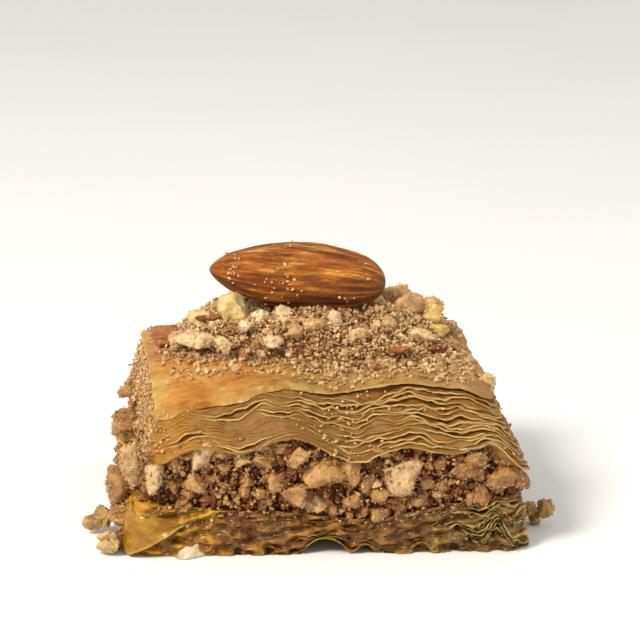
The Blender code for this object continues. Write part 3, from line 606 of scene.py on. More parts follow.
def flap(name, outline, lower, upper, swell, thickness, seed):
    """A sheet that hugs a stack's cut between two heights along part of the plan, with free rims."""
    foot, normals = outline
    count, rows = len(foot), 19
    share = np.linspace(0, 1, count)
    points = np.zeros((rows, count, 3))
    fullness = np.clip((upper - lower) / 0.002, 0.3, 1)
    for row, up in enumerate(np.linspace(0, 1, rows)):
        bulge = (swell + 0.0004) * math.cos(0.5 * math.pi * up) ** 0.7 * fullness - 0.0004
        crease = 0.00009 * np.sin(2 * math.pi * (2.2 * up + 1.5 * share + seed)) * np.sin(5 * share + seed)
        curl = 0.00035 * np.exp(-up / 0.10) * np.clip(share * 3 - 0.8, 0, 1)
        points[row, :, :2] = foot + normals * (bulge + crease + curl)[:, None]
        points[row, :, 2] = lower + (upper - lower) * up
    behind = np.dstack([np.tile(normals * thickness, (rows, 1, 1)), np.zeros((rows, count, 1))])
    outer, inner = points.reshape(-1, 3), (points - behind).reshape(-1, 3)
    total = rows * count
    faces = []
    for row in range(rows - 1):
        for i in range(count - 1):
            a, b = row * count + i, row * count + i + 1
            c, d = a + count, b + count
            faces.append((a, b, d, c))
            faces.append((total + a, total + c, total + d, total + b))
    numbers = np.arange(total).reshape(rows, count)
    rim = [*numbers[0], *numbers[1:, -1], *numbers[-1, -2::-1], *numbers[-2:0:-1, 0]]
    for a, b in zip(rim, rim[1:] + rim[:1]):
        faces.append((b, a, total + a, total + b))
    # How near each point is to a free rim: the filo material paints these pale as a highlight.
    from_rim = np.minimum(np.arange(rows)[:, None] / 1.5, (count - 1 - np.arange(count))[None, :] / 3.0)
    rim_share = 1 - np.clip(from_rim, 0, 1).reshape(-1)
    values = {"depth": np.zeros(2 * total), "open": np.concatenate([rim_share, rim_share]),
              "level": np.zeros(2 * total), "lump": np.full(2 * total, 0.2)}
    return solid_mesh(name, np.vstack([outer, inner]), np.array(faces), values)


along = np.linspace(0, 1, 60)
flap_top = 0.0064 - 0.0010 * along - 0.0006 * along ** 4
flap_foot = 0.0003 + 0.0042 * np.clip((along - 0.48) / 0.52, 0, 1) ** 0.9
corner_flap = flap("corner_flap", stretch_of(-0.0040, arc_at(-0.0200), (-0.0001, 0, 0, -0.0001)),
                   flap_foot, flap_top, swell=0.0008, thickness=0.0003, seed=0.3)
corner_flap.data.materials.append(soaked_filo)
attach(corner_flap, "root")

# The upper stack is fourteen baked filo leaves. Its cuts slope back towards the top, the left
# end is glazed together and golden, and towards the right the rims fan out, pale and wavy.
# The wavy underside and top of the stack in the front cut, as points (x, z)
UPPER_UNDER_LINE = (
    (-0.0270, 0.0114), (-0.0180, 0.0151), (-0.0125, 0.0143), (-0.0055, 0.0163), (0.0030, 0.0131),
    (0.0100, 0.0148), (0.0160, 0.0138), (0.0210, 0.0152), (0.0268, 0.0110),
)
UPPER_TOP_LINE = (
    (-0.0250, 0.0186), (-0.0170, 0.0200), (-0.0080, 0.0222), (0.0000, 0.0209), (0.0105, 0.0222),
    (0.0170, 0.0215), (0.0240, 0.0190),
)
# How far each side lies in from the plan at its foot, and how much further in at its top: the front,
# the right, the back and the left
UPPER_START = (-0.0004, 0.0000, 0.0002, 0.0026)
UPPER_LEAN = (0.0070, 0.0038, 0.0036, 0.0016)
# Places where a leaf has parted from the one above, as (leaf, x, half width, how much more gap)
PARTED = (
    (13, 0.0082, 0.0034, 1.9), (10, 0.0130, 0.0050, 0.7), (7, 0.0160, 0.0040, 0.7),
    (4, 0.0190, 0.0050, 0.6), (11, 0.0010, 0.0050, 0.4), (9, -0.0125, 0.0036, 0.6),
    (3, -0.0190, 0.0022, 1.4), (2, 0.0090, 0.0045, 0.6), (1, -0.0120, 0.0030, 0.5),
    (12, 0.0180, 0.0035, 0.7), (7, -0.0070, 0.0018, 0.3), (8, -0.0010, 0.0020, 0.4),
)


def upper_under(x, y):
    return blend_height(x, y, UPPER_UNDER_LINE, 0.0143, 5, 0.0008, 0.0018)


def upper_top(x, y):
    sunken_corner = 0.0016 * np.clip((-0.0140 - x) / 0.0080, 0, 1) * np.clip((y - 0.0020) / 0.0120, 0, 1)
    return blend_height(x, y, UPPER_TOP_LINE, 0.0226, 8, 0.00064, 0.0030) - sunken_corner


def baked_opening(x, y):
    """How far the baked leaves stand apart: closed at the left front, fanned at the right and behind."""
    front = 0.02 + 0.18 * np.clip((x + 0.010) / 0.008, 0, 1) + 0.58 * np.clip((x - 0.001) / 0.006, 0, 1)
    return np.where(y < FRONT_CUT, front, np.where(x < -0.022, 0.26, 0.46))


def below_top_leaf(x, y):
    """Top of the baked leaves, with room for the top leaf over them."""
    return upper_top(x, y) - 0.00055


baked_filo = filo_material(
    "baked_filo", (0.385, 0.168, 0.020), (0.255, 0.116, 0.026), (0.290, 0.140, 0.033), (0.53, 0.345, 0.140),
    (0.23, 0.088, 0.015), (0.40, 0.58, 0.80, 0.96), wet=False)
baked_stack = stack_layout(
    count=14, start=UPPER_START, lean=UPPER_LEAN, low=upper_under, high=below_top_leaf,
    seed=9, wave=0.50, openness=baked_opening, crumple=0.00012, parted=PARTED)
upper_leaves = leaves_of("upper_leaves", baked_stack, thin=0.00025, reach=0.00038)
upper_mass = mass_of("upper_mass", baked_stack, retreat=0.00022, foot_level=upper_under)
for piece in (upper_leaves, upper_mass):
    piece.data.materials.append(baked_filo)
    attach(piece, "root")
    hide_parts("upper_filo")

# The top leaf covers the whole upper stack. It is thin, buttered and wavy, golden to orange at the
# left where it is bare and beige to the right, partly its own colour and partly painted light from
# the left. Its rim hangs a little over the cuts, and at the left it has sagged down over the front cut
# and baked onto it.
head_line, head_normals = plan_line([inset + more for inset, more in zip(UPPER_START, UPPER_LEAN)])
foot_line, _ = plan_line(UPPER_START)
head_arc, head_length = around(head_line)
head_share = head_arc / head_length
# How far down the front cut the top leaf hangs, as a share of the cut, at points along the front
SAG_LINE = (
    (-0.0270, 0.16), (-0.0215, 0.22), (-0.0185, 0.12), (-0.0160, 0.10), (-0.0120, 0.16), (-0.0085, 0.12),
    (-0.0050, 0.05), (-0.0020, 0.02), (0.0270, 0.02),
)


def buckle(x, y):
    """Small folds and wrinkles of the top leaf, mostly running along the front edge at the left."""
    folds = np.sin(y * 900 + x * 260 + 2 * waves(x, y, 41)) * 0.00024
    wrinkles = 0.00011 * (0.6 - np.abs(waves(x * 3.2, y * 6.5, 44)))
    wrinkles = wrinkles + 0.00005 * (0.6 - np.abs(waves(x * 8, y * 15, 45)))
    bare = np.clip((0.006 - x) / 0.016, 0.25, 1) * np.clip((-0.002 - y) / 0.008, 0, 1)
    return (folds + 1.6 * wrinkles) * bare + 0.00012 * waves(x * 2.4, y * 2.4, 42)


def cover(x, y):
    """How thickly the top leaf is sprinkled, from 0 to 1: bare at its front edge and at the front
    left, thick where the mound begins."""
    left = np.clip((x - 0.001) / -0.014, 0, 1)
    near = np.clip((y + 0.0188 - 0.0040 * left) / 0.0110, 0, 1) ** (1 + left)
    side = np.clip((0.0225 - np.abs(x + 0.0005)) / 0.0040, 0, 1)
    back = np.clip((0.0185 - y) / 0.0030, 0, 1)
    under_mound = (np.hypot((x + 0.0010) / 0.0165, (y - 0.0070) / 0.0110) < 1)
    return near ** 1.2 * side * back * (1 - under_mound)


front_share = 1 / (1 + np.exp((foot_line[:, 1] + 0.0195) / 0.0007))
sag = 0.02 + (eased(np.clip(foot_line[:, 0], -0.0269, 0.0269), SAG_LINE) - 0.02) * front_share
sag = np.clip(sag + 0.035 * ripple(head_share, 503, 12, 50) * np.clip(sag * 5 - 0.2, 0, 1), 0.02, 0.9)
rim_jitter = 0.00026 * ripple(head_share, 501, 8, 70) + 0.00008 * ripple(head_share, 502, 80, 300)
# Where the rim is rounded over: at the left of the front, and a little elsewhere
rounded = 0.25 + 0.75 * front_share * np.clip(-head_line[:, 0] / 0.008, 0, 1)
rows, covers, rim_depth = [], [], []
HANG_ROWS = (1.0, 0.93, 0.84, 0.72, 0.58, 0.42, 0.28, 0.16, 0.06)
for down in HANG_ROWS:
    fall = sag * down
    place = head_line + (foot_line - head_line) * fall[:, None]
    ruffle = 0.00007 * np.sin(22 * fall + 5 * waves(*place.T, 43))
    swing = 0.00012 + rim_jitter * (0.4 + 0.3 * down) + ruffle
    place = place + head_normals * swing[:, None]
    low, high = upper_under(*place.T), upper_top(*place.T)
    rows.append(np.column_stack([place, high + (low - high) * fall - 0.00030 * rounded]))
    covers.append(np.zeros(len(place)))
    # The lowest row of the hanging rim gets depth nought, which the material paints pale as a highlight.
    rim_depth.append(0.0 if down == 1.0 else 0.14)
top_rim = head_line + head_normals * (rim_jitter * 0.4 + 0.00016)[:, None]
for inward in 0.004 + 0.80 * np.linspace(0, 1, 56) ** 1.4:
    place = top_rim * (1 - inward)
    z = upper_top(*place.T) + buckle(*place.T) * min(1, inward / 0.02)
    z = z - 0.00030 * math.exp(-inward / 0.03) * rounded
    rows.append(np.column_stack([place, z]))
    covers.append(cover(*place.T))
    rim_depth.append(0.14)
beneath = []
for row in rows[len(HANG_ROWS) + 4::-1]:
    inner = row.copy()
    inner[:, :2] -= head_normals * 0.00016
    inner[:, 2] -= 0.00012
    beneath.append(inner)
count = len(top_rim)
# The underside rows get full depth, where the material paints shade.
under_depth = [1.0] * (len(beneath) - 1) + [0.5]
values = {"depth": np.concatenate([np.repeat(under_depth + rim_depth, count), [1, 0.14]]),
          "cover": np.concatenate([np.zeros(len(beneath) * count)] + covers + [[0, 1]])}
top_leaf = core_solid("top_leaf", beneath + rows, values)

top_filo, tree, shader, place = new_material("top_filo", {
    "Subsurface Weight": 0.60, "Subsurface Radius": (1.0, 0.55, 0.20), "Subsurface Scale": 0.0018,
    "Specular IOR Level": 0.30, "Coat Weight": 0.06, "Coat Roughness": 0.25})
patches = noise_node(tree, place, 150, 3, 0.55)
gold = ramp_node(tree, patches, ((0.38, (0.50, 0.285, 0.065)), (0.50, (0.44, 0.200, 0.032)),
                                 (0.62, (0.40, 0.150, 0.018))))
beige = ramp_node(tree, patches, ((0.38, (0.39, 0.225, 0.064)), (0.62, (0.31, 0.155, 0.036))))
# Painted light: beige at the right turning golden to the left, partly the leaf's own browning and partly
# light from the left.
leftward, _ = sideways_node(tree, place, 0.000, -0.018)
mottle = noise_node(tree, place, 700, 4, 0.7)
colour = shaded(tree, mix_node(tree, leftward, beige, gold), mottle, ((0.3, 0.80), (0.65, 1.12)))
blisters = noise_node(tree, place, 380, 5, 0.6, (0.6, 1.5, 1))
# Painted light and shade: the blister noise that makes the bump also lightens and blues the raised blisters
# and darkens the dips between them.
colour = shaded(tree, colour, blisters, ((0.34, (0.72, 0.58, 0.42)), (0.48, 1.0), (0.64, (1.10, 1.16, 1.35))))
depth = attribute_node(tree, "depth")
# Painted shade on the underside of the hanging rim.
colour = mix_node(tree, ramp_node(tree, depth, ((0.3, 0), (0.9, 0.9))), colour, (0.30, 0.125, 0.024))
# Painted highlight along the lowest row of the hanging rim.
colour = mix_node(tree, ramp_node(tree, depth, ((0.0, 0.6), (0.06, 0))), colour, (0.60, 0.37, 0.13))
finish_shader(tree, shader, colour, ramp_node(tree, mottle, ((0.3, 0.30), (0.7, 0.50))),
              (blisters, 0.6, 0.00040))
top_leaf.data.materials.append(top_filo)
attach(top_leaf, "root")

# The filling is a layer of chopped almonds and walnuts, mixed with ground nuts. Behind the cut it is
# a moist, crumbly mass, very dark, partly its own colour and partly painted shade between the pieces;
# at the cut the pieces stand out of it one by one.
# How far the mass lies in from each side of the plan
FILLING_INSETS = (0.0022, 0.0020, 0.0022, 0.0038)
mass_line, mass_normals = plan_line(FILLING_INSETS, (110, 60, 60, 60), 8)
mass_arc, mass_length = around(mass_line)
rings = []
for up in (0.0, 0.06, 0.18, 0.34, 0.5, 0.66, 0.82, 0.94, 1.0):
    ruffle = 0.0005 * ripple(mass_arc / mass_length, int(600 + 100 * up), 20, 120)
    ruffled = mass_line + mass_normals * ruffle[:, None]
    low, high = lower_top(*ruffled.T), upper_under(*ruffled.T)
    rings.append(np.column_stack([ruffled, low - 0.0004 + (high - low + 0.0008) * up]))
at_the_cut = np.concatenate([np.repeat([0, 1, 1, 1, 1, 1, 1, 1, 0], len(mass_line)), [0, 0]])
filling_core = core_solid("filling_core", rings, {"cover": at_the_cut})


def crumbly_mass(name, fineness, stops, relief):
    """Ground nut packed together: rough and clumpy, with painted shade in its pits, where the colour
    ramp darkens as the bump sinks.
    """
    material, tree, shader, place = new_material(name, {"Roughness": 0.8})
    clumps = noise_node(tree, place, fineness, 5, 0.7)
    finish_shader(tree, shader, ramp_node(tree, clumps, stops), bump=(clumps, 1.0, relief))
    return material


# Painted shade: very dark, standing for the shade in the gaps between the pieces as well as the moist meal's
# own colour.
filling_mass = crumbly_mass("filling_mass", 700, ((0.30, (0.060, 0.014, 0.004)), (0.5, (0.17, 0.050, 0.016)),
                                                  (0.75, (0.28, 0.115, 0.044))), 0.0006)
filling_core.data.materials.append(filling_mass)
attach(filling_core, "root")
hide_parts("nut_filling")

# Pieces that stand out of the front cut, as (x, z, width, height)
FRONT_NUTS = (
    (-0.0266, 0.0129, 0.0021, 0.0056), (-0.0238, 0.0110, 0.0032, 0.0040),
    (-0.0209, 0.0128, 0.0020, 0.0018), (-0.0175, 0.0134, 0.0034, 0.0034),
    (-0.0146, 0.0143, 0.0034, 0.0014), (-0.0146, 0.0120, 0.0018, 0.0020),
    (-0.0183, 0.0102, 0.0028, 0.0032), (-0.0158, 0.0106, 0.0018, 0.0012),
    (-0.0122, 0.0134, 0.0028, 0.0022), (-0.0094, 0.0150, 0.0018, 0.0016),
    (-0.0091, 0.0129, 0.0025, 0.0025), (-0.0116, 0.0099, 0.0018, 0.0019),
    (-0.0097, 0.0084, 0.0020, 0.0016), (-0.0075, 0.0096, 0.0028, 0.0026),
    (-0.0052, 0.0084, 0.0028, 0.0028), (-0.0046, 0.0134, 0.0022, 0.0022),
    (-0.0008, 0.0114, 0.0048, 0.0036), (-0.0022, 0.0067, 0.0038, 0.0022),
    (0.0026, 0.0116, 0.0026, 0.0050), (0.0029, 0.0073, 0.0022, 0.0018),
    (0.0045, 0.0096, 0.0020, 0.0020), (0.0064, 0.0141, 0.0026, 0.0012),
    (0.0094, 0.0110, 0.0050, 0.0042), (0.0066, 0.0113, 0.0016, 0.0016),
    (0.0062, 0.0083, 0.0024, 0.0022), (0.0061, 0.0054, 0.0021, 0.0017),
    (0.0084, 0.0068, 0.0029, 0.0019), (0.0118, 0.0072, 0.0023, 0.0016),
    (0.0124, 0.0098, 0.0018, 0.0018), (0.0145, 0.0123, 0.0016, 0.0016),
    (0.0150, 0.0090, 0.0020, 0.0018), (0.0177, 0.0114, 0.0024, 0.0026),
    (0.0194, 0.0130, 0.0034, 0.0025), (0.0199, 0.0104, 0.0020, 0.0018),
    (0.0202, 0.0076, 0.0024, 0.0022), (0.0228, 0.0106, 0.0034, 0.0028),
    (0.0252, 0.0100, 0.0022, 0.0028),
)
# Pieces that stand out further on the left side, as (x, y, z, width, depth, height)
LEFT_NUTS = (
    (-0.0254, 0.0110, 0.0136, 0.0050, 0.0044, 0.0036),
    (-0.0262, 0.0010, 0.0110, 0.0054, 0.0044, 0.0040),
    (-0.0285, -0.0140, 0.0062, 0.0038, 0.0048, 0.0054),
    (-0.0278, -0.0168, 0.0036, 0.0034, 0.0034, 0.0032),
    (-0.0283, -0.0120, 0.0026, 0.0032, 0.0034, 0.0032),
    (-0.0280, -0.0196, 0.0015, 0.0030, 0.0034, 0.0026),
)


def broken_nut(rng, size, place, spin=0.5, breaks=14, fineness=4, craggy=0.10, grit=0.035):
    """One broken bit of nut: a ball with flat breaks cut off it, its edges just rubbed, then craggy
    and gritty all over."""
    made = bmesh.new()
    bmesh.ops.create_icosphere(made, subdivisions=fineness, radius=1)
    outward = np.array([vertex.co for vertex in made.verts])
    facing = rng.normal(size=(breaks, 3))
    facing /= np.linalg.norm(facing, axis=1)[:, None]
    depths = rng.uniform(0.52, 0.98, breaks)
    cut = (np.clip(outward @ facing.T, 0.001, None) / depths) ** 30
    reach = np.minimum(cut.sum(axis=1) ** (-1 / 30), 1.32)
    offset = Vector(rng.uniform(-50, 50, 3))
    turn = Euler(rng.uniform(-spin, spin, 3)).to_matrix()
    for vertex, distance in zip(made.verts, reach):
        way = vertex.co.copy()
        coarse = noise.noise(way * 1.6 + offset) * 0.10
        crags = (0.30 - noise.voronoi(way * 2.4 + offset)[0][0]) * craggy
        fine = noise.noise(way * 6.0 - offset) * grit * 1.6 + noise.noise(way * 14.0 + offset) * grit
        shape = way * (float(distance) + coarse + crags + fine)
        vertex.co = turn @ Vector(a * b / 2 for a, b in zip(shape, size)) + Vector(place)
    return made


def grain(rng, size=1.1):
    """One ground grain of nut, with six sharp corners."""
    made = bmesh.new()
    for axis in range(3):
        for side in (-1, 1):
            corner = rng.uniform(-0.45, 0.45, 3)
            corner[axis] = side * rng.uniform(0.45, 1.25)
            made.verts.new(Vector(corner * size / 2))
    done = bmesh.ops.convex_hull(made, input=made.verts)
    inside = [part for part in done["geom_interior"] if isinstance(part, bmesh.types.BMVert)]
    bmesh.ops.delete(made, geom=inside, context="VERTS")
    bmesh.ops.recalc_face_normals(made, faces=made.faces)
    return made


def join_pieces(name, pieces, tints):
    """One object from many small meshes, with a tint for each of them."""
    points, faces, values, base = [], [], [], 0
    for made, tint in zip(pieces, tints):
        made.verts.index_update()
        made.verts.ensure_lookup_table()
        points.extend(tuple(v.co) for v in made.verts)
        faces.extend(tuple(v.index + base for v in face.verts) for face in made.faces)
        values.extend([tint] * len(made.verts))
        base = len(points)
        made.free()
    values = np.array(values)
    return solid_mesh(name, np.array(points), faces, {"tint": values, "cover": np.ones(len(values))})


def nut_material(name, pale, warm, dark):
    """Nut flesh: nearly white to dark from piece to piece by its tint, with dark and pale blotches, and
    moist with syrup."""
    material, tree, shader, place = new_material(name, {
        "Subsurface Weight": 0.40, "Subsurface Radius": (1.0, 0.65, 0.35), "Subsurface Scale": 0.0008,
        "Specular IOR Level": 0.28, "Coat Weight": 0.10, "Coat Roughness": 0.15})
    nearly_white = tuple(0.55 * value + 0.45 * light for value, light in zip(pale, (0.86, 0.76, 0.60)))
    pallor = tuple(min(1.0, value * 1.35) for value in pale)
    colour = ramp_node(tree, attribute_node(tree, "tint"),
                       ((0.0, nearly_white), (0.16, pale), (0.50, warm), (1.0, dark)))
    blotch = noise_node(tree, place, 520, 5, 0.7)
    colour = mix_node(tree, ramp_node(tree, blotch, ((0.46, 0), (0.70, 0.65))), colour, dark)
    colour = mix_node(tree, ramp_node(tree, blotch, ((0.28, 0.6), (0.46, 0))), colour, pallor)
    colour = shaded(tree, colour, noise_node(tree, place, 2600, 4, 0.7), ((0.3, 0.74), (0.62, 1.12)))
    finish_shader(tree, shader, colour, ramp_node(tree, blotch, ((0.35, 0.57), (0.65, 0.33))),
                  (noise_node(tree, place, 1800, 5, 0.75), 0.8, 0.00014))
    return material


filling_nut = nut_material("filling_nut", (0.48, 0.280, 0.102), (0.265, 0.110, 0.038), (0.137, 0.031, 0.008))


def front_edge(x):
    """Where the front cut lies at x."""
    (x0, y0), (x1, y1) = CORNERS[:2]
    return y0 + (y1 - y0) * (x - x0) / (x1 - x0)


rng = np.random.default_rng(77)
pieces = []
for x, z, width, height in FRONT_NUTS:
    y = front_edge(x) + rng.uniform(0.0005, 0.0018)
    pieces.append(broken_nut(rng, (width * 1.18, (width + height) * 0.56, height * 1.18), (x, y, z)))
pieces += [broken_nut(rng, [1.15 * size for size in place[3:]], place[:3]) for place in LEFT_NUTS]
# Tints: paler for bigger pieces, a random part, and darker further right as painted shade.
tints = [0.50 - 48 * (width + height) + 3 * x + rng.uniform(-0.10, 0.10)
         for x, _, width, height in FRONT_NUTS]
tints += list(rng.uniform(0.28, 0.40, len(LEFT_NUTS)))
filling_chunks = join_pieces("filling_chunks", pieces, np.clip(tints, 0.07, 0.7))
filling_chunks.data.materials.append(filling_nut)
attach(filling_chunks, "root")


def bit_shapes(name, seed, make, count):
    """A few shapes of one kind of small bit, to be strewn over a surface."""
    rng = np.random.default_rng(seed)
    bits = bpy.data.collections.new(name)
    for n in range(count):
        made = make(rng)
        mesh = bpy.data.meshes.new(f"{name}_{n}")
        made.to_mesh(mesh)
        made.free()
        bits.objects.link(bpy.data.objects.new(f"{name}_{n}", mesh))
    return bits


lumps = bit_shapes("lumps", 5, lambda rng: broken_nut(
    rng, (1, 1, 1), (0, 0, 0), spin=3.0, breaks=12, fineness=2, craggy=0.30, grit=0.10), 14)
grits = bit_shapes("grits", 6, grain, 14)
skins = bit_shapes("skins", 7, lambda rng: broken_nut(
    rng, (1.0, 0.62, 0.12), (0, 0, 0), spin=0.3, breaks=6, fineness=2, craggy=0.3), 9)


def strewing_tree():
    """Strews bits over a surface where its cover is high, each at its own turn, size and tint. Half the
    tint is random and half is painted light and shade: the higher a bit is lifted, the paler it is.
    """
    tree = bpy.data.node_groups.new("strewn_bits", "GeometryNodeTree")
    for label, kind in (("Surface", "Geometry"), ("Bits", "Collection"), ("Count per square metre", "Float"),
                        ("Smallest", "Float"), ("Largest", "Float"), ("Lift", "Float"), ("Heap", "Float"),
                        ("Palest", "Float"), ("Darkest", "Float"), ("Seed", "Int"), ("Finish", "Material")):
        tree.interface.new_socket(label, in_out="INPUT", socket_type=f"NodeSocket{kind}")
    tree.interface.new_socket("Strewn", in_out="OUTPUT", socket_type="NodeSocketGeometry")
    given = add_node(tree, "NodeGroupInput").outputs

    def drawn(data_type, least, most, seed):
        """A random value for each bit, between two sockets or plain values."""
        first, result = {"FLOAT": (2, 1), "FLOAT_VECTOR": (0, 0)}[data_type]
        return add_node(tree, "FunctionNodeRandomValue", {first: least, first + 1: most, "Seed": seed},
                        data_type=data_type).outputs[result]

    def ranged(value, **limits):
        """A value carried over from one range to another."""
        inputs = {label.replace("_", " ").title(): limit for label, limit in limits.items()}
        return add_node(tree, "ShaderNodeMapRange", {"Value": value, **inputs}).outputs["Result"]

    def stretched(vector, scale):
        scaled = add_node(tree, "ShaderNodeVectorMath", {0: vector, "Scale": scale}, operation="SCALE")
        return scaled.outputs["Vector"]

    cover_of = add_node(tree, "GeometryNodeInputNamedAttribute", {"Name": "cover"}, data_type="FLOAT")
    clumps = add_node(tree, "ShaderNodeTexNoise", {"Scale": 620, "Detail": 2}).outputs["Fac"]
    clumping = ranged(clumps, from_min=0.40, from_max=0.60, to_min=0.35, to_max=1.7)
    covered = math_node(tree, "MULTIPLY", cover_of.outputs["Attribute"], clumping)
    spread = add_node(tree, "GeometryNodeDistributePointsOnFaces", {
        "Mesh": given["Surface"], "Seed": given["Seed"],
        "Density": math_node(tree, "MULTIPLY", covered, given["Count per square metre"])}).outputs
    heaped_up = drawn("FLOAT", 0.0, 1.0, 1)
    rise = stretched(spread["Normal"], ranged(heaped_up, to_min=given["Lift"], to_max=given["Heap"]))
    heaped = add_node(tree, "GeometryNodeSetPosition", {"Geometry": spread["Points"], "Offset": rise})
    shapes = add_node(tree, "GeometryNodeCollectionInfo", {
        "Collection": given["Bits"], "Separate Children": True, "Reset Children": True})
    size = stretched(drawn("FLOAT_VECTOR", (0.5,) * 3, (1.0,) * 3, 3),
                     drawn("FLOAT", given["Smallest"], given["Largest"], 4))
    laid = add_node(tree, "GeometryNodeInstanceOnPoints", {
        "Points": heaped.outputs["Geometry"], "Instance": shapes.outputs["Instances"], "Pick Instance": True,
        "Rotation": drawn("FLOAT_VECTOR", (0, 0, 0), (2 * math.pi,) * 3, 2), "Scale": size})
    # Painted light and shade: half of each bit's tint comes from how high it is lifted, paler the higher;
    # half is random.
    tint_shade_and_tone = math_node(tree, "MULTIPLY_ADD", heaped_up, 0.5, drawn("FLOAT", 0.0, 0.5, 5))
    tint = ranged(tint_shade_and_tone, to_min=given["Darkest"], to_max=given["Palest"])
    tinted = add_node(tree, "GeometryNodeStoreNamedAttribute", {
        "Geometry": laid.outputs["Instances"], "Name": "tint", "Value": tint},
        data_type="FLOAT", domain="INSTANCE")
    real = add_node(tree, "GeometryNodeRealizeInstances", {"Geometry": tinted.outputs["Geometry"]})
    finished = add_node(tree, "GeometryNodeSetMaterial", {
        "Geometry": real.outputs["Geometry"], "Material": given["Finish"]})
    add_node(tree, "NodeGroupOutput", {"Strewn": finished.outputs["Geometry"]})
    return tree


strewn_bits = strewing_tree()


def strew(name, surface, bits, per_mm2, sizes, heap, seed, finish, tints, where=None):
    """Bits of one kind strewn over a surface, as one plain mesh. The sizes are the least and the most,
    and so is the heap, which is how far a bit stands over the surface. The tints are the palest and
    the darkest. Where gives the cover at x, y and z, from 0 to 1."""
    piece = bpy.data.objects.new(name, surface.data.copy())
    bpy.context.scene.collection.objects.link(piece)
    if where:
        points = np.empty(len(piece.data.vertices) * 3)
        piece.data.vertices.foreach_get("co", points)
        covered = piece.data.attributes.get("cover") or piece.data.attributes.new("cover", "FLOAT", "POINT")
        covered.data.foreach_set("value", where(*points.reshape(-1, 3).T).astype(np.float32))
    modifier = piece.modifiers.new("strewn", "NODES")
    modifier.node_group = strewn_bits
    chosen = {"Bits": bits, "Count per square metre": per_mm2 * 1e6, "Seed": seed, "Finish": finish,
              "Smallest": sizes[0], "Largest": sizes[1], "Lift": heap[0], "Heap": heap[1],
              "Palest": tints[0], "Darkest": tints[1]}
    for socket in strewn_bits.interface.items_tree:
        if socket.name in chosen:
            modifier[socket.identifier] = chosen[socket.name]
    depsgraph = bpy.context.evaluated_depsgraph_get()
    mesh = bpy.data.meshes.new_from_object(piece.evaluated_get(depsgraph), depsgraph=depsgraph)
    piece.modifiers.remove(modifier)
    mesh.shade_flat()
    piece.data = mesh
    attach(piece, "root")


nut_skin = nut_material("nut_skin", (0.36, 0.130, 0.034), (0.20, 0.050, 0.014), (0.09, 0.022, 0.007))


def at_the_foot(x, y, z):
    """Meal caught on the upper half of the lower stack, and a little below it."""
    return (z > 0.0008) * (z < 0.0070) * np.clip((z - 0.0034) / 0.003, 0.12, 1)


# Each with its name, surface, shapes, count to the square millimetre, sizes, heap, seed, material, tints
strew("filling_pieces", filling_core, lumps, 0.65, (0.0008, 0.0024), (0.0, 0.0013), 22, filling_nut,
      (0.0, 0.85))
strew("filling_meal", filling_core, grits, 5.0, (0.0003, 0.0010), (0.0, 0.0019), 24, filling_nut, (0.05, 1.0))
strew("filling_skins", filling_core, skins, 0.50, (0.0008, 0.0024), (0.0004, 0.0016), 25, nut_skin,
      (0.2, 1.0))
strew("filling_dust", filling_chunks, grits, 2.6, (0.0002, 0.0007), (0.0, 0.0002), 26, filling_nut,
      (0.0, 0.5))
strew("foot_meal", lower_mass, grits, 0.9, (0.0003, 0.0008), (0.0001, 0.0004), 27, filling_nut, (0.0, 0.7),
      at_the_foot)

# The mound on top is ground and finely chopped nuts heaped under the almond, with bigger broken
# pieces and flakes of brown skin in it. It thins out to single grains towards the front left.
MOUND_CENTRE = (-0.0010, 0.0060)


def mound_top(x, y):
    """Top of the heap over the top leaf, thin towards its edge."""
    reach = np.hypot((x - MOUND_CENTRE[0]) / 0.0240, (y - MOUND_CENTRE[1]) / 0.0190)
    return upper_top(x, y) + 0.0004 + 0.0042 * np.clip(1 - reach ** 2, 0, 1) ** 0.8


mound_insets = [sum(parts) for parts in zip(UPPER_START, UPPER_LEAN, (0.0078, 0.0020, 0.0026, 0.0026))]
mound_line, mound_normals = plan_line(mound_insets, (60, 40, 40, 40), 6)
mound_arc, mound_length = around(mound_line)
mound_line = mound_line + mound_normals * (0.0010 * ripple(mound_arc / mound_length, 70, 5, 40))[:, None]
bare = np.clip((-0.0020 - mound_line[:, 0]) / 0.0120, 0, 1) * (mound_line[:, 1] < -0.0030)
mound_line[:, 1] += 0.0044 * bare
centre = np.array(MOUND_CENTRE)
rings = [np.column_stack([mound_line, upper_top(*mound_line.T) - 0.0006])]
covers = [np.zeros(len(mound_line))]
# How far out each ring of the heap lies, and how far it has risen towards the heap's top
for share, risen in ((1.0, -0.10), (0.97, 0.06), (0.93, 0.20), (0.88, 0.38), (0.82, 0.58), (0.75, 0.76),
                     (0.66, 0.92), (0.55, 1.0), (0.44, 1.0), (0.32, 1.0), (0.2, 1.0), (0.1, 1.0)):
    plan = centre + (mound_line - centre) * share
    sheet = upper_top(*plan.T)
    bumps = 0.00022 * waves(*plan.T * 5, 61) + 0.00012 * waves(*plan.T * 11, 62)
    rings.append(np.column_stack([plan, sheet + (mound_top(*plan.T) - sheet) * risen + bumps - 0.0003]))
    covers.append(np.full(len(plan), min(1.0, max(0.0, risen) * 1.3)))
mound_core = core_solid("mound_core", rings, {"cover": np.concatenate(covers + [[0, 1]])})
# Like the filling mass, its pits are darkened with painted shade.
mound_mass = crumbly_mass("mound_mass", 900, ((0.30, (0.11, 0.038, 0.011)), (0.5, (0.26, 0.110, 0.036)),
                                              (0.75, (0.42, 0.22, 0.085))), 0.0005)
mound_core.data.materials.append(mound_mass)
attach(mound_core, "root")
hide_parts("nut_mound")

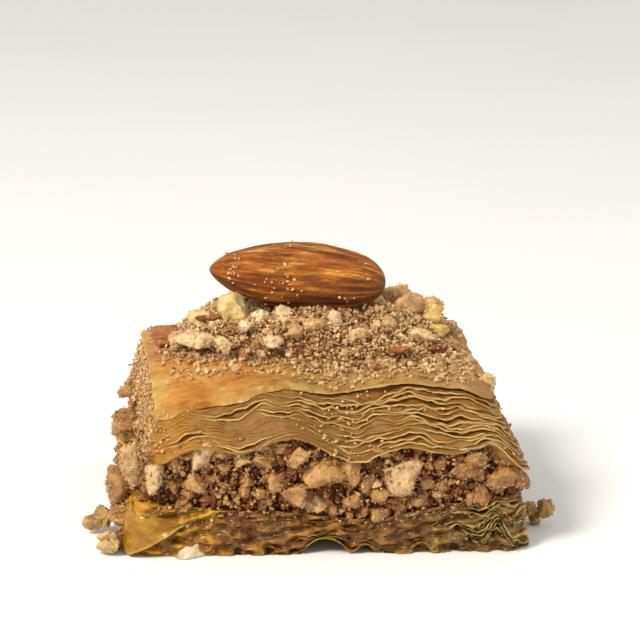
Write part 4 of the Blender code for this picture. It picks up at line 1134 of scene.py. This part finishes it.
# Bigger broken pieces on the mound, as (x, y, width, depth, height, rise, tint)
PALE_PIECES = (
    (-0.0171, -0.0040, 0.0056, 0.0042, 0.0024, 0.0003, 0.10),
    (0.0131, 0.0132, 0.0042, 0.0038, 0.0050, 0.0012, 0.26),
    (0.0131, 0.0040, 0.0038, 0.0036, 0.0036, 0.0006, 0.34),
    (0.0095, 0.0100, 0.0030, 0.0030, 0.0030, 0.0008, 0.34),
    (-0.0079, -0.0010, 0.0030, 0.0026, 0.0026, 0.0007, 0.0),
    (-0.0014, -0.0048, 0.0036, 0.0028, 0.0026, 0.0004, 0.2),
    (-0.0036, -0.0064, 0.0026, 0.0024, 0.0022, 0.0003, 0.3),
    (0.0020, -0.0030, 0.0028, 0.0024, 0.0024, 0.0005, 0.0),
    (0.0050, -0.0054, 0.0028, 0.0024, 0.0022, 0.0003, 0.15),
    (0.0100, -0.0022, 0.0028, 0.0024, 0.0022, 0.0004, 0.26),
    (0.0146, -0.0042, 0.0032, 0.0024, 0.0026, 0.0004, 0.12),
    (-0.0136, -0.0064, 0.0026, 0.0024, 0.0020, 0.0004, 0.1),
    (-0.0072, -0.0078, 0.0030, 0.0024, 0.0018, 0.0005, 0.05),
    (-0.0100, 0.0168, 0.0048, 0.0040, 0.0034, 0.0004, 0.2),
    (0.0020, 0.0172, 0.0044, 0.0038, 0.0034, 0.0004, 0.1),
    (0.0180, 0.0120, 0.0036, 0.0036, 0.0028, 0.0002, 0.3),
    (0.0090, 0.0050, 0.0030, 0.0030, 0.0028, 0.0004, 0.2),
    (-0.0050, -0.0020, 0.0026, 0.0024, 0.0024, 0.0006, 0.1),
    (-0.0105, -0.0036, 0.0022, 0.0022, 0.0020, 0.0005, 0.0),
    (-0.0200, -0.0020, 0.0026, 0.0024, 0.0018, 0.0003, 0.3),
    (0.0226, -0.0112, 0.0030, 0.0038, 0.0036, -0.0012, 0.15),
)
YELLOW_PIECES = (
    (-0.0162, 0.0034, 0.0038, 0.0034, 0.0030, 0.0006, 0.15),
    (-0.0119, 0.0010, 0.0046, 0.0038, 0.0044, 0.0010, 0.12),
    (0.0168, 0.0046, 0.0034, 0.0034, 0.0036, 0.0005, 0.35),
    (0.0176, 0.0000, 0.0026, 0.0024, 0.0022, 0.0003, 0.4),
)
SKIN_PIECES = (
    (-0.0214, 0.0024, 0.0050, 0.0044, 0.0024, 0.0000, 0.20),
    (0.0107, -0.0094, 0.0036, 0.0026, 0.0010, 0.0006, 0.25),
    (0.0165, -0.0060, 0.0030, 0.0022, 0.0012, 0.0008, 0.45),
    (0.0067, -0.0126, 0.0016, 0.0013, 0.0006, 0.0004, 0.2),
    (-0.0110, -0.0090, 0.0013, 0.0022, 0.0006, 0.0004, 0.2),
    (-0.0155, 0.0005, 0.0040, 0.0014, 0.0008, 0.0010, 0.3),
)
mound_nut = nut_material("mound_nut", (0.68, 0.470, 0.240), (0.38, 0.185, 0.072), (0.18, 0.058, 0.018))
yellow_nut = nut_material("yellow_nut", (0.68, 0.51, 0.21), (0.56, 0.37, 0.11), (0.30, 0.16, 0.04))
rng = np.random.default_rng(41)
chunks = {}
for name, places, finish, slot in (("mound_chunks", PALE_PIECES, mound_nut, "chopped_nut"),
                                   ("mound_yellow_chunks", YELLOW_PIECES, yellow_nut, "chopped_nut"),
                                   ("mound_skin_chunks", SKIN_PIECES, nut_skin, "almond_skin")):
    pieces = []
    for x, y, *sizes, rise, _ in places:
        z = float(mound_top(np.array(x), np.array(y))) + rise
        pieces.append(broken_nut(rng, [1.12 * size for size in sizes], (x, y, z), craggy=0.20))
    chunks[name] = join_pieces(name, pieces, [piece[-1] for piece in places])
    chunks[name].data.materials.append(finish)
    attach(chunks[name], "root")


def spilled(x, y, z):
    """Grains that fell from the top down the front, thickest a little right of the middle."""
    return (y < -0.0135) * (z < 0.0212) * (0.04 + 0.9 * np.exp(-((x - 0.0020) / 0.0036) ** 2))


def side_dusting(x, y, z):
    """Dust of meal on the left side of the upper stack."""
    return (x < -0.0215) * (y > -0.0225) * 1.0


strew("mound_pieces", mound_core, lumps, 0.62, (0.0008, 0.0022), (0.0, 0.0006), 52, mound_nut, (0.03, 0.5))
strew("mound_meal", mound_core, grits, 12.0, (0.0003, 0.0010), (0.0, 0.0011), 54, mound_nut, (0.0, 0.85))
strew("mound_skins", mound_core, skins, 0.40, (0.0006, 0.0017), (0.0004, 0.0011), 55, nut_skin, (0.16, 1.0))
strew("sprinkled_meal", top_leaf, grits, 8.0, (0.0003, 0.0010), (0.0, 0.0004), 56, mound_nut, (0.0, 0.7))
strew("sprinkled_pieces", top_leaf, lumps, 0.42, (0.0006, 0.0016), (0.0, 0.0003), 59, mound_nut, (0.0, 0.4))
strew("sprinkled_skins", top_leaf, skins, 0.10, (0.0006, 0.0016), (0.0001, 0.0003), 57, nut_skin,
      (0.16, 1.0))
strew("piece_dust", chunks["mound_chunks"], grits, 1.6, (0.0002, 0.0006), (0.0, 0.0002), 58, mound_nut,
      (0.0, 0.5))
strew("skin_dust", chunks["mound_skin_chunks"], grits, 0.9, (0.0002, 0.0007), (0.0, 0.0002), 64, mound_nut,
      (0.0, 0.5))
strew("spilled_meal", upper_mass, grits, 1.3, (0.0003, 0.0008), (0.0002, 0.0006), 60, mound_nut, (0.0, 0.5),
      spilled)
strew("side_meal", upper_mass, grits, 3.2, (0.0002, 0.0007), (0.0001, 0.0005), 61, mound_nut, (0.0, 0.7),
      side_dusting)

# The whole almond lies on the mound with its point to the left. Its brown skin is ribbed lengthwise,
# with pale golden streaks along the ribs, painted shade in the grooves between them, and its lower
# side darkened as painted shade.
ALMOND_LENGTH = 0.0254
ALMOND_WIDTH = 0.0128
ALMOND_THICKNESS = 0.0087
ALMOND_PLACE = Vector((-0.0023, 0.0060, 0.0315))
ALMOND_TURN = Euler((math.radians(14), math.radians(5), math.radians(-3)))
RING_COUNT, SPOKE_COUNT = 150, 260
stations = -np.cos(np.linspace(0, math.pi, RING_COUNT + 2)[1:-1])
spokes = np.linspace(0, 2 * math.pi, SPOKE_COUNT, endpoint=False)
lengthwise, angles = np.meshgrid(stations, spokes, indexing="ij")
share = (1 + lengthwise) / 2
radius = share ** 0.62 * (1 - share) ** 0.48 / 0.4707
# The fibres run from the blunt end to the point, and drift round the nut a little on the way
around_nut = np.stack([lengthwise * 1.1, 2.4 * np.cos(angles), 2.4 * np.sin(angles)], axis=-1).reshape(-1, 3)
drift = [0.35 * math.sin(2.1 * way[0] + 0.7) for way in around_nut]
fibres = [Vector((way[0], way[1] + turn, way[2] - turn)) for way, turn in zip(around_nut, drift)]
ribs = np.array([1 - 3.4 * abs(noise.noise(way * 1.3)) + 0.7 * noise.noise(way * 3.1) for way in fibres])
relief = 0.00016 * ribs.reshape(radius.shape) * np.clip(radius * 1.6, 0, 1)
points = np.stack([lengthwise * ALMOND_LENGTH / 2,
                   (radius * ALMOND_WIDTH / 2 + relief) * np.cos(angles),
                   (radius * ALMOND_THICKNESS / 2 + relief) * np.sin(angles)], axis=-1)
tips = np.array([(-ALMOND_LENGTH / 2, 0, 0), (ALMOND_LENGTH / 2, 0, 0)])
turn, moved = np.array(ALMOND_TURN.to_matrix()).T, np.array(ALMOND_PLACE)
fibre_ends = [around_nut[:SPOKE_COUNT].mean(axis=0), around_nut[-SPOKE_COUNT:].mean(axis=0)]
fibre_ways = np.vstack([fibres, *fibre_ends])
values = {"rib": np.append(ribs, [0, 0]), "belly": np.append(np.sin(angles), [0, 0]),
          "fibre_x": fibre_ways[:, 0], "fibre_y": fibre_ways[:, 1], "fibre_z": fibre_ways[:, 2]}
almond = core_solid("whole_almond", list(points @ turn + moved), values, tuple(tips @ turn + moved))

almond_skin, tree, shader, place = new_material("almond_skin", {
    "Subsurface Weight": 0.10, "Subsurface Radius": (1.0, 0.5, 0.2), "Subsurface Scale": 0.0006,
    "Specular IOR Level": 0.25})
fibre = add_node(tree, "ShaderNodeCombineXYZ", {
    axis: attribute_node(tree, f"fibre_{axis.lower()}") for axis in "XYZ"}).outputs["Vector"]
bands = noise_node(tree, fibre, 2.3, 5, 0.62, (0.55, 1, 1))
colour = ramp_node(tree, bands, ((0.36, (0.180, 0.044, 0.006)), (0.48, (0.29, 0.080, 0.008)),
                                 (0.56, (0.41, 0.140, 0.015)), (0.66, (0.68, 0.33, 0.050))))
threads = noise_node(tree, fibre, 17.0, 6, 0.85, (0.45, 1, 1))
colour = shaded(tree, colour, threads, ((0.34, 0.62), (0.48, 0.98), (0.64, 1.35)))
# Painted shade: the skin is darker on the almond's lower side.
colour = shaded(tree, colour, attribute_node(tree, "belly"),
                ((0.0, (0.66, 0.56, 0.50)), (0.40, 0.92), (0.75, 1.0)))
# Painted shade in the grooves between the ribs, which are a little lighter.
colour = shaded(tree, colour, attribute_node(tree, "rib"), ((0.0, 0.66), (0.6, 1.08)))
dust = noise_node(tree, place, 1500, 5, 0.75)
colour = shaded(tree, colour, dust, ((0.3, 0.72), (0.62, 1.16)))
finish_shader(tree, shader, colour, ramp_node(tree, dust, ((0.3, 0.60), (0.7, 0.42))),
              (math_node(tree, "MULTIPLY_ADD", threads, 2.0, dust), 0.8, 0.00016))
almond.data.materials.append(almond_skin)
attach(almond, "root")
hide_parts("almond")


def clinging(x, y, z):
    """Grains that cling to the almond: in clusters low on its front, one of them near its point."""
    clusters = ((-0.0062, 0.0305, 0.0012), (-0.0034, 0.0300, 0.0010), (-0.0115, 0.0330, 0.0012),
                (-0.0040, 0.0325, 0.0012), (0.0035, 0.0290, 0.0016))
    near = sum(np.exp(-((x - cx) / reach) ** 2 - ((z - cz) / reach) ** 2) for cx, cz, reach in clusters)
    return np.clip(near + 0.05, 0, 1)


strew("almond_crumbs", almond, grits, 1.6, (0.00025, 0.0007), (0.0001, 0.0003), 63, mound_nut, (0.0, 0.3),
      clinging)

# Three clusters of nut lie against the foot of the sides, where they fell from the filling, and a chip
# of blanched nut is half under the front edge.
crumb_nut = nut_material("crumb_nut", (0.50, 0.32, 0.105), (0.34, 0.215, 0.080), (0.13, 0.06, 0.018))
# Each cluster as (name, the solid it stands for, tint, its lumps as (x, y, z, width, depth, height))
CRUMBS = (
    ("left_front_bit", "crumb_left_front", 0.1, (
        (-0.0309, -0.0221, 0.0012, 0.0026, 0.0028, 0.0024),
        (-0.0295, -0.0224, 0.0014, 0.0024, 0.0028, 0.0026),
        (-0.0303, -0.0215, 0.0022, 0.0024, 0.0024, 0.0022))),
    ("left_back_bit", "crumb_left_back", 0.45, (
        (-0.0318, -0.0130, 0.0016, 0.0030, 0.0030, 0.0030),
        (-0.0305, -0.0132, 0.0022, 0.0028, 0.0030, 0.0032),
        (-0.0310, -0.0124, 0.0030, 0.0022, 0.0022, 0.0020))),
    ("right_bit", "crumb_right", 0.35, (
        (0.0285, -0.0146, 0.0022, 0.0034, 0.0032, 0.0026),
        (0.0307, -0.0148, 0.0025, 0.0028, 0.0028, 0.0022),
        (0.0292, -0.0140, 0.0010, 0.0028, 0.0028, 0.0020))),
)


def rest_on_plate(piece, level):
    """Press flat whatever part of a piece lies under the plate's top."""
    for vertex in piece.data.vertices:
        vertex.co.z = max(vertex.co.z, level)


rng = np.random.default_rng(31)
for name, node, tint, parts in CRUMBS:
    lumps_of_nut = [broken_nut(rng, part[3:], part[:3], craggy=0.35) for part in parts]
    bit = join_pieces(name, lumps_of_nut, [tint] * len(parts))
    rest_on_plate(bit, 0.00004)
    bit.data.materials.append(crumb_nut)
    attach(bit, "root")
    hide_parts(node)

blanched_nut = nut_material("blanched_nut", (0.60, 0.52, 0.37), (0.50, 0.41, 0.28), (0.46, 0.36, 0.22))
smooth_nut = broken_nut(rng, (0.0056, 0.0048, 0.0050), (-0.0188, -0.0231, 0.0001), breaks=60,
                        craggy=0.03, grit=0.01)
chip = join_pieces("blanched_chip", [smooth_nut], [0.15])
rest_on_plate(chip, 0.00003)
chip.data.materials.append(blanched_nut)
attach(chip, "root")

# The shapes that were strewn are no pieces of their own
for bits in (lumps, grits, skins):
    for shape in list(bits.objects):
        bpy.data.objects.remove(shape)
    bpy.data.collections.remove(bits)
